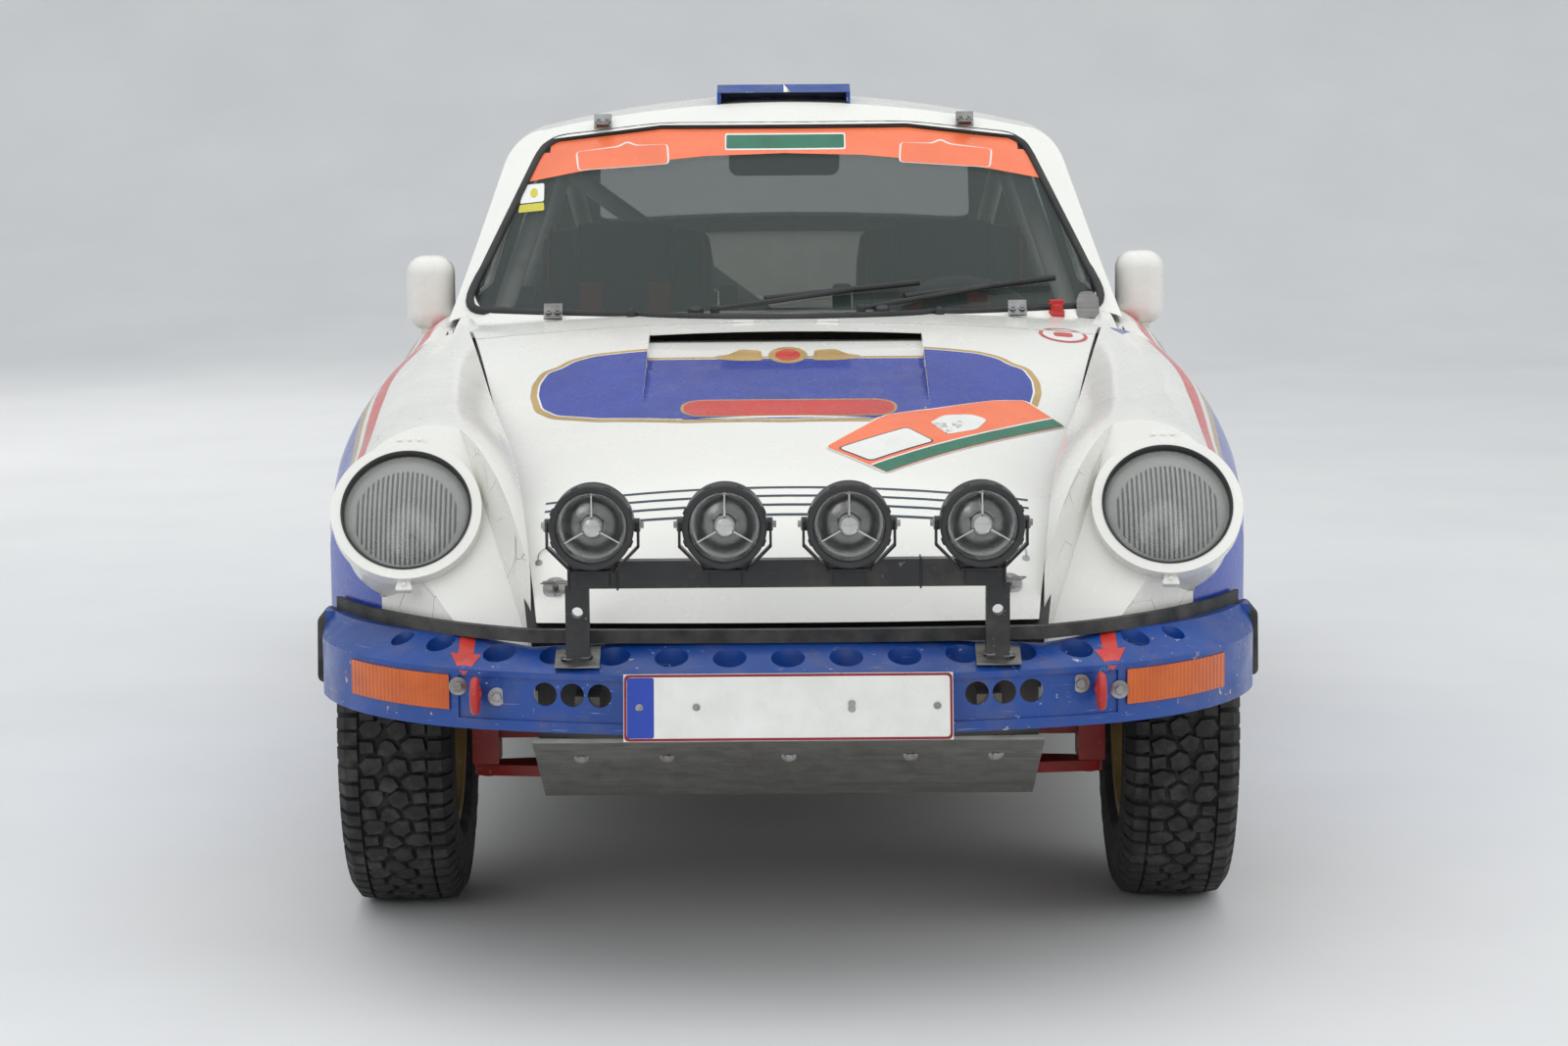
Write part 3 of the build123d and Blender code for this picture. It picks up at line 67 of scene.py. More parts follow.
# Materials
class Look:
    """A Principled material with short calls for its nodes, in object coordinates."""

    def __init__(self, name, rough=0.5, metal=0.0, **sockets):
        self.mat = bpy.data.materials.new(name)
        self.mat.use_nodes = True
        self.tree = self.mat.node_tree
        self.shader = self.tree.nodes["Principled BSDF"]
        self.place = self.node("TexCoord").outputs["Object"]
        for key, value in {"Roughness": rough, "Metallic": metal, **sockets}.items():
            self.shader.inputs[key.replace("_", " ")].default_value = value

    def put(self, socket, value):
        """Links another node's output to the socket, or sets its value."""
        if isinstance(value, bpy.types.NodeSocket):
            self.tree.links.new(value, socket)
        elif isinstance(value, tuple) and len(value) == 3 and socket.type == "RGBA":
            socket.default_value = (*value, 1.0)
        else:
            socket.default_value = value

    def node(self, kind, sockets=None, **props):
        n = self.tree.nodes.new("ShaderNode" + kind)
        for key, value in props.items():
            setattr(n, key, value)
        for key, value in (sockets or {}).items():
            self.put(n.inputs[key], value)
        return n

    def scaled(self, factors):
        return self.node("Mapping", {"Vector": self.place, "Scale": factors}).outputs["Vector"]

    def noise(self, scale, detail=4.0, rough=0.55, vector=None):
        sockets = {"Vector": vector or self.place, "Scale": scale, "Detail": detail, "Roughness": rough}
        return self.node("TexNoise", sockets).outputs["Fac"]

    def cells(self, scale, feature="F1", vector=None):
        sockets = {"Vector": vector or self.place, "Scale": scale}
        return self.node("TexVoronoi", sockets, feature=feature).outputs["Distance"]

    def wave(self, scale, direction):
        sockets = {"Vector": self.place, "Scale": scale}
        return self.node("TexWave", sockets, bands_direction=direction).outputs["Fac"]

    def calc(self, op, a, b=0.0):
        return self.node("Math", {0: a, 1: b}, operation=op).outputs[0]

    def span(self, value, low, high, to_low=0.0, to_high=1.0):
        """The value, stretched so that low gives to_low and high gives to_high."""
        sockets = {"Value": value, "From Min": low, "From Max": high, "To Min": to_low, "To Max": to_high}
        return self.node("MapRange", sockets).outputs[0]

    def mix(self, share, a, b):
        return self.node("Mix", {0: share, 6: a, 7: b}, data_type="RGBA").outputs[2]

    def split(self, vector=None):
        return self.node("SeparateXYZ", {0: vector or self.place}).outputs

    def times(self, a, b):
        return self.calc("MULTIPLY", a, b)

    def length(self, a, b):
        return self.calc("SQRT", self.calc("ADD", self.times(a, a), self.times(b, b)))

    def cloud(self, scale, detail=4.0, low=0.3, high=0.7, to_low=0.0, to_high=1.0):
        """Noise whose span from low to high is stretched from to_low to to_high."""
        return self.span(self.noise(scale, detail), low, high, to_low, to_high)

    def outward(self):
        """How far a face looks away from the car's middle plane."""
        normal = self.split(self.node("TexCoord").outputs["Normal"])
        return self.times(normal[0], self.calc("SIGN", self.split()[0]))

    def colour(self, value):
        self.put(self.shader.inputs["Base Color"], value)

    def rough(self, value):
        self.put(self.shader.inputs["Roughness"], value)

    def bump(self, height, strength=0.3, depth=0.001):
        n = self.node("Bump", {"Height": height, "Strength": strength, "Distance": depth})
        old = self.shader.inputs["Normal"]
        if old.is_linked:
            self.put(n.inputs["Normal"], old.links[0].from_socket)
        self.put(old, n.outputs[0])


def speckled(name, base, dark, scale, rough=0.5, metal=0.0, spread=0.12, bump=0.2, depth=0.0006,
             grain=220.0, **sockets):
    """A plain surface with cloudy colour, a fine grain and uneven gloss."""
    look = Look(name, rough, metal, **sockets)
    look.colour(look.mix(look.cloud(scale, 5.0, 0.35, 0.65), dark, base))
    look.rough(look.cloud(scale * 3.1, 4.0, 0.3, 0.7, rough - spread, rough + spread))
    look.bump(look.noise(grain, 3.0), bump, depth)
    return look.mat


def darker(colour, share):
    return tuple(c * share for c in colour)


WHITE = (0.80, 0.79, 0.74)
BLUE = (0.012, 0.055, 0.40)
RED = (0.62, 0.025, 0.02)
GOLD = (0.42, 0.27, 0.08)
MUD = (0.16, 0.125, 0.09)
# The line under the side stripes: shares of the car's length, and heights above the floor
STRIPE_LINE = (
    (0.0, 0.79), (0.085, 0.810), (0.110, 0.826), (0.1625, 0.856), (0.207, 0.884), (0.32, 0.930),
    (0.60, 0.945), (0.78, 0.93), (1.0, 0.90),
)
# The striped paint reaches this far above the line, and lies only outside this x
STRIPES_HIGH, STRIPES_OUTSIDE = 0.076, 0.66


def striped(look, axes, base, colour):
    """Blue below the stripe line and a gold and a red stripe above it, on outward faces."""
    curve = look.node("FloatCurve", {"Value": look.span(axes[1], NOSE, TAIL)})
    line = curve.mapping.curves[0]
    line.points[0].location = STRIPE_LINE[0]
    line.points[1].location = STRIPE_LINE[-1]
    for p in STRIPE_LINE[1:-1]:
        line.points.new(*p)
    curve.mapping.update()
    above = look.calc("SUBTRACT", axes[2], curve.outputs[0])
    bands = look.node("ValToRGB", {0: look.span(above, -0.5, 0.5)})
    bands.color_ramp.interpolation = "CONSTANT"
    stops = bands.color_ramp.elements
    stops[0].color = (*BLUE, 1)
    stops[1].position = 0.500
    stops[1].color = (*GOLD, 1)
    for position, shade in ((0.517, base), (0.528, RED), (0.548, base)):
        stops.new(position).color = (*shade, 1)
    here = look.calc("LESS_THAN", above, STRIPES_HIGH)
    needed = look.span(axes[1], LAMP_END, -1.80, 0.30, 0.88)
    here = look.times(here, look.calc("GREATER_THAN", look.outward(), needed))
    far = look.calc("ABSOLUTE", axes[0])
    here = look.times(here, look.calc("GREATER_THAN", far, STRIPES_OUTSIDE))
    return look.mix(here, colour, bands.outputs[0])


def cracked(look, axes, colour):
    """Hairline cracks in the paint round the headlamps."""
    dx = look.calc("SUBTRACT", look.calc("ABSOLUTE", axes[0]), LAMP_X)
    dz = look.calc("SUBTRACT", axes[2], LAMP_Z - 0.007)
    near = look.span(look.length(dx, dz), 0.225, 0.15)
    near = look.times(near, look.calc("LESS_THAN", axes[1], LAMP_END))
    moved = look.node("Mapping", {"Vector": look.place, "Location": (0.4, 0.1, 0.7)}).outputs[0]
    lines = look.span(look.cells(15.0, "DISTANCE_TO_EDGE", moved), 0.012, 0.004)
    lines = look.times(lines, look.cloud(9.0, 2.0, 0.50, 0.58))
    lines = look.times(lines, look.span(near, 0.0, 0.4))
    return look.mix(look.times(lines, 0.75), colour, (0.20, 0.16, 0.11))


def dirty_paint(name, base, stripes=False, inner=None, cracks=False):
    """Body paint: sprayed colour, fine dirt, and splashes low down."""
    look = Look(name, 0.26, Coat_Weight=0.45, Coat_Roughness=0.12)
    axes = look.split()
    colour = look.mix(look.cloud(2.2, 3.0), darker(base, 0.93), base)
    if stripes:
        colour = striped(look, axes, base, colour)
    dots = look.times(look.cloud(420.0, 2.0, 0.70, 0.76), look.cloud(5.0, 3.0, 0.45, 0.65))
    colour = look.mix(look.times(dots, 0.55), colour, (0.22, 0.19, 0.15))
    height = look.calc("ADD", axes[2], look.times(look.noise(7.0, 6.0), 0.5))
    splash = look.span(height, 0.86, 0.50)
    colour = look.mix(look.times(splash, 0.40), colour, MUD)
    if cracks:
        colour = cracked(look, axes, colour)
    if inner:
        colour = look.mix(look.calc("LESS_THAN", look.outward(), -0.35), colour, inner)
    look.colour(colour)
    look.rough(look.cloud(11.0, 5.0, 0.3, 0.7, 0.20, 0.32))
    look.bump(look.noise(260.0, 2.0), 0.04, 0.0004)
    look.bump(look.noise(3.0, 2.0), 0.04, 0.002)
    return look.mat


def chipped_paint(name, base, chips=(0.55, 0.55, 0.53), amount=0.635, rough=0.33):
    """Hard-used paint on a part that meets stones: chips, scratches and dust."""
    look = Look(name, rough, Coat_Weight=0.25, Coat_Roughness=0.2)
    colour = look.mix(look.cloud(3.0), darker(base, 0.72), base)
    lost = look.span(look.noise(62.0, 6.0, 0.7), amount, amount + 0.02)
    lost = look.times(lost, look.cloud(7.0, 3.0, 0.47, 0.56))
    colour = look.mix(lost, colour, chips)
    lines = look.span(look.noise(60.0, 2.0, 0.5, look.scaled((0.25, 0.25, 6.0))), 0.70, 0.74)
    colour = look.mix(look.times(lines, 0.30), colour, chips)
    look.colour(look.mix(look.cloud(18.0, 6.0, 0.50, 0.85, 0.0, 0.45), colour, MUD))
    look.rough(look.cloud(14.0, 5.0, 0.3, 0.7, rough - 0.1, rough + 0.25))
    look.bump(look.times(lost, -1.0), 0.5, 0.0006)
    look.bump(look.noise(300.0, 2.0), 0.06, 0.0004)
    return look.mat


def glass(name, tint_and_shade, alpha, dust, clear=1.0):
    """Glass with a colour of its own and a few spots of dust; on the dark windows that colour is partly the
    glass's green and partly painted shade of the car's inside.
    """
    look = Look(name, 0.0, IOR=1.45, Alpha=alpha, Transmission_Weight=clear)
    spots = look.span(look.noise(330.0, 3.0, 0.65), 0.60, 0.70)
    spots = look.times(spots, look.cloud(6.0, 4.0, 0.35, 0.75))
    look.colour(look.mix(look.times(spots, dust), tint_and_shade, (0.55, 0.53, 0.48)))
    look.rough(look.times(spots, dust * 2.2))
    return look.mat


def ink(colour, base, dark, rough=0.34, coat=0.3, scale=9.0):
    """The surface of a printed film."""
    name = "film_" + colour
    return speckled(name, base, dark, scale, rough, grain=500.0, bump=0.05, Coat_Weight=coat)


def ribbed_lens(name, rough, dark, bright, ways, scale, **sockets):
    """Moulded lamp plastic with ribs across the named axes."""
    look = Look(name, rough, **sockets)
    look.colour(look.mix(look.cloud(14.0), dark, bright))
    for way in ways:
        look.bump(look.wave(scale, way), 0.5, 0.0015)
    return look.mat


def headlamp_lens():
    """Clear glass with upright ribs and a plain rim; the ribs' bright and dark bands and the rim's brightness
    are painted highlight and painted shade.
    """
    look = Look("glass_lens", 0.03, IOR=1.45, Transmission_Weight=0.6)
    place = look.split()
    across = look.calc("SUBTRACT", look.calc("ABSOLUTE", place[0]), LAMP_X)
    upward = look.calc("DIVIDE", look.calc("SUBTRACT", place[2], LAMP_Z), LAMP_LEAN)
    rim = look.span(look.length(across, upward), 0.0855, 0.0865)
    # The ribs show only as painted light: bright bands of painted highlight and dark bands of painted shade
    # in the colour and the alpha, with the plain rim painted bright.
    ribs = look.calc("MAXIMUM", look.wave(39.0, "X"), rim)
    look.colour(look.mix(look.span(ribs, 0.20, 0.65), (0.30, 0.305, 0.295), (0.64, 0.65, 0.62)))
    look.put(look.shader.inputs["Alpha"], look.span(ribs, 0.2, 0.8, 0.50, 0.78))
    return look.mat


def drawn_sheet():
    """Rolled aluminium sheet: long marks of drawing, dents and dirt, on greys darkened as painted shade."""
    look = Look("sheet_aluminium_shaded", 0.42, 1.0)
    drawn = look.noise(40.0, 3.0, 0.6, look.scaled((0.12, 3.0, 6.0)))
    # Both greys are darker than bare aluminium: painted shade of the shadow under the car, where the skid
    # plate lies, over the metal's real grey.
    colour = look.mix(look.span(drawn, 0.3, 0.7), (0.24, 0.235, 0.22), (0.36, 0.355, 0.33))
    look.colour(look.mix(look.cloud(6.0, 6.0, 0.50, 0.75, 0.0, 0.6), colour, (0.20, 0.17, 0.13)))
    look.rough(look.cloud(26.0, 5.0, 0.3, 0.7, 0.34, 0.62))
    look.bump(drawn, 0.15, 0.0006)
    look.bump(look.noise(9.0, 3.0), 0.35, 0.004)
    return look.mat


def dusty_tread():
    """Tyre rubber with dust caked on it."""
    look = Look("rubber_tyre", 0.8)
    caked = look.span(look.noise(24.0, 7.0, 0.65), 0.47, 0.72)
    colour = look.mix(look.cloud(5.0), (0.017, 0.017, 0.018), (0.032, 0.031, 0.030))
    look.colour(look.mix(look.times(caked, 0.55), colour, (0.115, 0.105, 0.095)))
    look.bump(look.noise(230.0, 4.0), 0.5, 0.0012)
    return look.mat


def cloth(name, base, dark, weave=520.0):
    look = Look(name, 0.85, Sheen_Weight=0.35)
    threads = look.times(look.wave(weave, "X"), look.wave(weave, "Z"))
    look.colour(look.mix(look.cloud(9.0, 5.0), dark, look.mix(threads, dark, base)))
    look.bump(threads, 0.25, 0.0004)
    look.bump(look.noise(14.0, 3.0), 0.2, 0.003)
    return look.mat


def grained_leather():
    look = Look("leather_black", 0.52, Sheen_Weight=0.1)
    look.colour(look.mix(look.cloud(12.0), (0.020, 0.019, 0.018), (0.038, 0.036, 0.034)))
    look.bump(look.cells(300.0), 0.5, 0.0006)
    return look.mat


white_paint = dirty_paint("paint_white", WHITE)
side_paint = dirty_paint("paint_striped", WHITE, stripes=True, cracks=True)
door_paint = dirty_paint("paint_door", WHITE, stripes=True, inner=(0.03, 0.03, 0.032))
blue_paint = chipped_paint("paint_blue", (0.006, 0.062, 0.32))
black_paint = chipped_paint("paint_black", (0.018, 0.018, 0.02), (0.25, 0.24, 0.23), 0.66, 0.38)
red_paint = chipped_paint("paint_red", (0.55, 0.02, 0.015), (0.35, 0.30, 0.28), 0.64, 0.4)
cage_paint = chipped_paint("paint_cage", (0.62, 0.62, 0.60), (0.3, 0.3, 0.3), 0.66, 0.4)
gold_paint = chipped_paint("paint_wheel", (0.40, 0.28, 0.11), (0.35, 0.34, 0.32), 0.62, 0.38)
under_paint = speckled(
    "underseal", (0.05, 0.048, 0.045), (0.10, 0.085, 0.065), 5.0, 0.75, bump=0.6, depth=0.002, grain=160.0)
rubber = speckled(
    "rubber_worn", (0.022, 0.022, 0.023), (0.07, 0.066, 0.06), 16.0, 0.68, bump=0.5, depth=0.0015, grain=90.0)
seal_rubber = speckled("rubber_seal", (0.016, 0.016, 0.017), (0.035, 0.034, 0.032), 9.0, 0.5, grain=400.0)
plastic = speckled("plastic_black", (0.018, 0.018, 0.019), (0.03, 0.03, 0.03), 12.0, 0.42, grain=700.0)
trim = speckled(
    "trim_grained", (0.022, 0.022, 0.023), (0.032, 0.031, 0.03), 8.0, 0.6, bump=0.35, depth=0.0008,
    grain=420.0)
steel = speckled("steel_dull", (0.45, 0.45, 0.45), (0.26, 0.24, 0.22), 24.0, 0.38, 1.0)
iron = speckled(
    "iron_dusty", (0.09, 0.085, 0.08), (0.16, 0.12, 0.09), 14.0, 0.7, 0.4, bump=0.4, depth=0.001, grain=130.0)
chrome = speckled("reflector", (0.62, 0.62, 0.62), (0.54, 0.54, 0.53), 18.0, 0.14, 1.0, 0.05, 0.05)
plate_paint = speckled(
    "plate_white", (0.78, 0.78, 0.75), (0.66, 0.65, 0.60), 9.0, 0.35, grain=300.0, Coat_Weight=0.3)
plate_blue = speckled("plate_band", (0.02, 0.06, 0.42), (0.02, 0.05, 0.34), 9.0, 0.35, grain=300.0)
plate_red = speckled("plate_rim", (0.28, 0.01, 0.02), (0.2, 0.01, 0.02), 9.0, 0.35, grain=300.0)
print_blue = ink("blue", (0.018, 0.045, 0.33), (0.014, 0.035, 0.27), 0.28, 0.4, 7.0)
print_gold = ink("gold", (0.50, 0.33, 0.11), (0.40, 0.26, 0.08), 0.3, 0.4)
print_red = ink("red", (0.60, 0.035, 0.025), (0.50, 0.03, 0.02), 0.3, 0.4)
print_orange = ink("orange", (0.88, 0.19, 0.075), (0.80, 0.16, 0.06))
print_green = ink("green", (0.01, 0.16, 0.085), (0.01, 0.12, 0.07))
print_white = ink("white", (0.80, 0.80, 0.77), (0.72, 0.71, 0.67))
print_dark = ink("dark", (0.012, 0.035, 0.055), (0.01, 0.03, 0.045))
print_yellow = ink("yellow", (0.62, 0.56, 0.05), (0.5, 0.45, 0.05), coat=0.0)
# The windows and the windscreen get a dark opaque colour at part alpha: painted shade that darkens the car's
# inside, over the glass's own green.
clear_glass = glass("glass_clear_shaded", (0.05, 0.068, 0.062), 0.34, 0.05, 0.0)
screen_glass = glass("glass_screen_shaded", (0.06, 0.08, 0.072), 0.36, 0.04, 0.0)
lamp_glass = glass("glass_lamp", (0.97, 0.98, 0.98), 1.0, 0.05)
lens_glass = headlamp_lens()
amber = ribbed_lens("lens_amber", 0.22, (0.55, 0.085, 0.004), (0.72, 0.14, 0.006), "X", 46.0,
                    Transmission_Weight=0.15, Coat_Weight=0.15)
red_lens = ribbed_lens("lens_red", 0.16, (0.32, 0.006, 0.008), (0.52, 0.012, 0.012), "XZ", 40.0,
                       Transmission_Weight=0.3, Coat_Weight=0.5)
shaded_alloy = drawn_sheet()
tread_rubber = dusty_tread()
seat_cloth = cloth("cloth_seat", (0.022, 0.022, 0.025), (0.014, 0.014, 0.016))
belt_cloth = cloth("webbing_red", (0.55, 0.02, 0.02), (0.33, 0.012, 0.014), 900.0)
leather = grained_leather()


# Mesh building
def axes_of(direction):
    w = Vector(direction).normalized()
    u = w.orthogonal().normalized()
    return u, w.cross(u), w


def turns(count):
    """Equal steps round a full turn."""
    return [2 * pi * i / count for i in range(count)]


def centre_of(outline):
    return [sum(p[axis] for p in outline) / len(outline) for axis in (0, 1)]


class Shape:
    """Collects like solids into one mesh."""

    def __init__(self):
        self.points, self.faces = [], []

    def add(self, points, faces):
        n = len(self.points)
        self.points += [tuple(p) for p in points]
        self.faces += [tuple(i + n for i in f) for f in faces]
        return self

    def rings(self, rings, closed=True, ends=True, loop=False):
        """Skins a list of point rings that have the same count."""
        n = len(rings[0])
        faces = []
        rows = len(rings) if loop else len(rings) - 1
        for i in range(rows):
            a, b = i * n, ((i + 1) % len(rings)) * n
            for j in range(n if closed else n - 1):
                k = (j + 1) % n
                faces.append((a + j, a + k, b + k, b + j))
        if ends and not loop:
            faces.append(tuple(reversed(range(n))))
            faces.append(tuple(range((len(rings) - 1) * n, len(rings) * n)))
        return self.add([p for r in rings for p in r], faces)

    def lathe(self, profile, origin, direction, seg=40, ends=True):
        """profile is a list of (distance along the axis, radius)."""
        u, v, w = axes_of(direction)
        rings = []
        for h, r in profile:
            middle, r = Vector(origin) + w * h, max(r, 1e-5)
            rings.append([middle + (u * cos(a) + v * sin(a)) * r for a in turns(seg)])
        return self.rings(rings, ends=ends)

    def tube(self, line, r, seg=8, loop=False):
        """A round tube along a line of points."""
        pts = [Vector(p) for p in line]
        rings, u = [], None
        for i, p in enumerate(pts):
            a = pts[i - 1] if i or loop else p
            b = pts[(i + 1) % len(pts)] if i < len(pts) - 1 or loop else p
            t = (b - a).normalized()
            u = t.orthogonal() if u is None else u
            u = (u - t * u.dot(t)).normalized()
            v = t.cross(u)
            rings.append([p + (u * cos(q) + v * sin(q)) * r for q in turns(seg)])
        return self.rings(rings, loop=loop)

    def strap(self, line, width, thick, across):
        """Flat webbing along a line of points, a little fuller in the middle."""
        pts = [Vector(p) for p in line]
        w = Vector(across).normalized()
        section = ((-1, -1), (-0.5, -1.3), (0.5, -1.3), (1, -1), (1, 1), (0.5, 1.3), (-0.5, 1.3), (-1, 1))
        rings = []
        for i, p in enumerate(pts):
            t = (pts[min(i + 1, len(pts) - 1)] - pts[max(i - 1, 0)]).normalized()
            n = t.cross(w).normalized()
            rings.append([p + w * (width / 2) * a + n * (thick / 2) * b for a, b in section])
        return self.rings(rings)

    def slab(self, outline, low, high, u=(1, 0, 0), v=(0, 0, 1), w=(0, 1, 0), origin=(0, 0, 0), edge=0.0):
        """An outline in the (u, v) plane, thickened along w from low to high, with a small chamfer."""
        o, u, v, w = Vector(origin), Vector(u), Vector(v), Vector(w)
        cx, cy = centre_of(outline)

        def ring(h, inset):
            out = []
            for x, y in outline:
                d = sqrt((x - cx) ** 2 + (y - cy) ** 2) or 1.0
                k = 1 - inset / d
                out.append(o + u * (cx + (x - cx) * k) + v * (cy + (y - cy) * k) + w * h)
            return out

        if edge:
            rows = [ring(low, edge), ring(low + edge, 0), ring(high - edge, 0), ring(high, edge)]
        else:
            rows = [ring(low, 0), ring(high, 0)]
        return self.rings(rows)

    def box(self, centre, size, edge=0.001, turn=None):
        x, y, z = (q / 2 for q in size)
        c = min(edge, x * 0.9, y * 0.9, z * 0.9)
        m = turn or Matrix.Identity(3)
        rows = []
        for h, i in ((-z, c), (-z + c, 0), (z - c, 0), (z, c)):
            k = c * 0.8
            pts = [(-x + i + k, -y + i), (x - i - k, -y + i), (x - i, -y + i + k), (x - i, y - i - k)]
            pts += [(x - i - k, y - i), (-x + i + k, y - i), (-x + i, y - i - k), (-x + i, -y + i + k)]
            rows.append([Vector(centre) + m @ Vector((a, b, h)) for a, b in pts])
        return self.rings(rows)

    def bolt(self, centre, direction, r, h):
        """A hexagon head on a washer."""
        u, v, w = axes_of(direction)
        self.lathe([(0, r * 1.75), (r * 0.18, r * 1.75), (r * 0.26, r * 1.6)], centre, w, 24)
        foot = Vector(centre) + w * r * 0.24
        rings = []
        for up, share in ((0, 1.0), (h * 0.82, 1.0), (h, 0.86)):
            rings.append([foot + w * up + (u * cos(a) + v * sin(a)) * r * share for a in turns(6)])
        return self.rings(rings)

    def mirror(self):
        """Adds the mirror image across the car's middle plane."""
        n = len(self.points)
        self.points += [(-x, y, z) for x, y, z in self.points[:n]]
        self.faces += [tuple(i + n for i in reversed(f)) for f in list(self.faces)]
        return self

    def make(self, name, mat, body="chassis", angle=35.0, subdivide=0):
        """The object made of what was collected, riding on a body."""
        me = bpy.data.meshes.new(name)
        me.from_pydata(self.points, [], self.faces)
        bm = bmesh.new()
        bm.from_mesh(me)
        bmesh.ops.remove_doubles(bm, verts=bm.verts, dist=1e-6)
        bmesh.ops.recalc_face_normals(bm, faces=bm.faces)
        bm.to_mesh(me)
        bm.free()
        me.materials.append(mat)
        me.shade_smooth()
        if not subdivide:
            me.set_sharp_from_angle(angle=radians(angle))
        ob = placed(name, me)
        if subdivide:
            m = ob.modifiers.new("round", "SUBSURF")
            m.levels = m.render_levels = subdivide
        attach(ob, body)
        return ob


trees = {}


def tree_of(node):
    if node not in trees:
        me = nodes[node].data
        trees[node] = BVHTree.FromPolygons([v.co for v in me.vertices], [p.vertices[:] for p in me.polygons])
    return trees[node]


# Each flat view: its two axes, the axis it looks along, which way, and where its rays start
VIEWS = {
    "top": (0, 1, 2, -1, 4.0),
    "front": (0, 2, 1, 1, -3.0),
    "back": (0, 2, 1, -1, 3.0),
    "left": (1, 2, 0, -1, 3.0),
    "right": (1, 2, 0, 1, -3.0),
}
# The sides of the hood's ramp intake, where a film needs a cut to bend sharply
RAMP_SIDES = (-0.2556, -0.2540, 0.2540, 0.2556)


def cast(a, b, view, on, lift):
    """The point of the named nodes seen at (a, b) in a flat view, lifted off the surface."""
    i, j, k, sign, far = VIEWS[view]
    start, ray = [0.0] * 3, [0.0] * 3
    start[i], start[j], start[k], ray[k] = a, b, far, sign
    best = None
    for n in on:
        hit = tree_of(n).ray_cast(Vector(start), Vector(ray))
        if hit[0] is not None and (best is None or hit[3] < best[3]):
            best = hit
    if best is None:
        return None
    normal = best[1] if best[1][k] * sign < 0 else -best[1]
    return best[0] + normal * lift


def film(name, outline, view, on, mat, body="chassis", cell=0.02, lift=0.0006):
    """A thin printed film: an outline in a flat view, cut to a grid and cast onto the named nodes."""
    bm = bmesh.new()
    bm.faces.new([bm.verts.new((a, b, 0)) for a, b in outline])
    bmesh.ops.triangulate(bm, faces=bm.faces)
    for axis in (0, 1):
        values = [p[axis] for p in outline]
        first, last = int(min(values) / cell) - 1, int(max(values) / cell) + 1
        cuts = [step * cell for step in range(first, last + 1)]
        if axis == 0 and on == ["hood"]:
            cuts += RAMP_SIDES
        for cut in cuts:
            where, no = [0.0] * 3, [0.0] * 3
            where[axis], no[axis] = cut, 1.0
            geom = bm.verts[:] + bm.edges[:] + bm.faces[:]
            bmesh.ops.bisect_plane(bm, geom=geom, plane_co=where, plane_no=no)
    lost = []
    for v in bm.verts:
        p = cast(v.co.x, v.co.y, view, on, lift)
        if p is None:
            lost.append(v)
        else:
            v.co = p
    bmesh.ops.delete(bm, geom=lost, context="VERTS")
    me = bpy.data.meshes.new(name)
    bm.to_mesh(me)
    bm.free()
    k, sign = VIEWS[view][2:4]
    if sum(p.normal[k] * -sign * p.area for p in me.polygons) < 0:
        me.flip_normals()
    me.materials.append(mat)
    me.shade_smooth()
    ob = placed(name, me)
    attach(ob, body)


def rounded(points, radius, steps=6):
    """A closed outline with its corners turned by arcs."""
    out, n = [], len(points)
    for i in range(n):
        p, a, b = Vector(points[i]), Vector(points[i - 1]), Vector(points[(i + 1) % n])
        d0, d1 = (a - p), (b - p)
        r = min(radius, d0.length * 0.49, d1.length * 0.49)
        s, e = p + d0.normalized() * r, p + d1.normalized() * r
        for k in range(steps + 1):
            t = k / steps
            out.append(tuple((s * (1 - t) + p * t) * (1 - t) + (p * (1 - t) + e * t) * t))
    return out


def panel(x0, y0, x1, y1, radius, steps=3):
    """A rectangle with its corners turned by arcs."""
    return rounded([(x0, y0), (x1, y0), (x1, y1), (x0, y1)], radius, steps)


def oval(cx, cy, rx, ry, turn=0.0, count=40):
    out = []
    for i in range(count):
        a = 2 * pi * i / count
        x, y = rx * cos(a), ry * sin(a)
        out.append((cx + x * cos(turn) - y * sin(turn), cy + x * sin(turn) + y * cos(turn)))
    return out


def grown(outline, by):
    """The outline with each point moved away from its middle."""
    cx, cy = centre_of(outline)
    out = []
    for x, y in outline:
        d = sqrt((x - cx) ** 2 + (y - cy) ** 2)
        out.append((x + (x - cx) / d * by, y + (y - cy) / d * by))
    return out


def outset(outline, by):
    """The outline moved outward by one distance all round."""
    turn = sum(a[0] * b[1] - b[0] * a[1] for a, b in zip(outline, outline[1:] + outline[:1]))
    out = []
    for i, p in enumerate(outline):
        a, b = Vector(outline[i - 1]), Vector(outline[(i + 1) % len(outline)])
        d = (b - a).normalized() * (by if turn > 0 else -by)
        out.append((p[0] + d.y, p[1] - d.x))
    return out


def dense(points, step=0.02):
    """More points along a closed line."""
    out = []
    for a, b in zip(points, points[1:] + points[:1]):
        a, b = Vector(a), Vector(b)
        n = max(1, int((b - a).length / step))
        out += [tuple(a.lerp(b, i / n)) for i in range(n)]
    return out


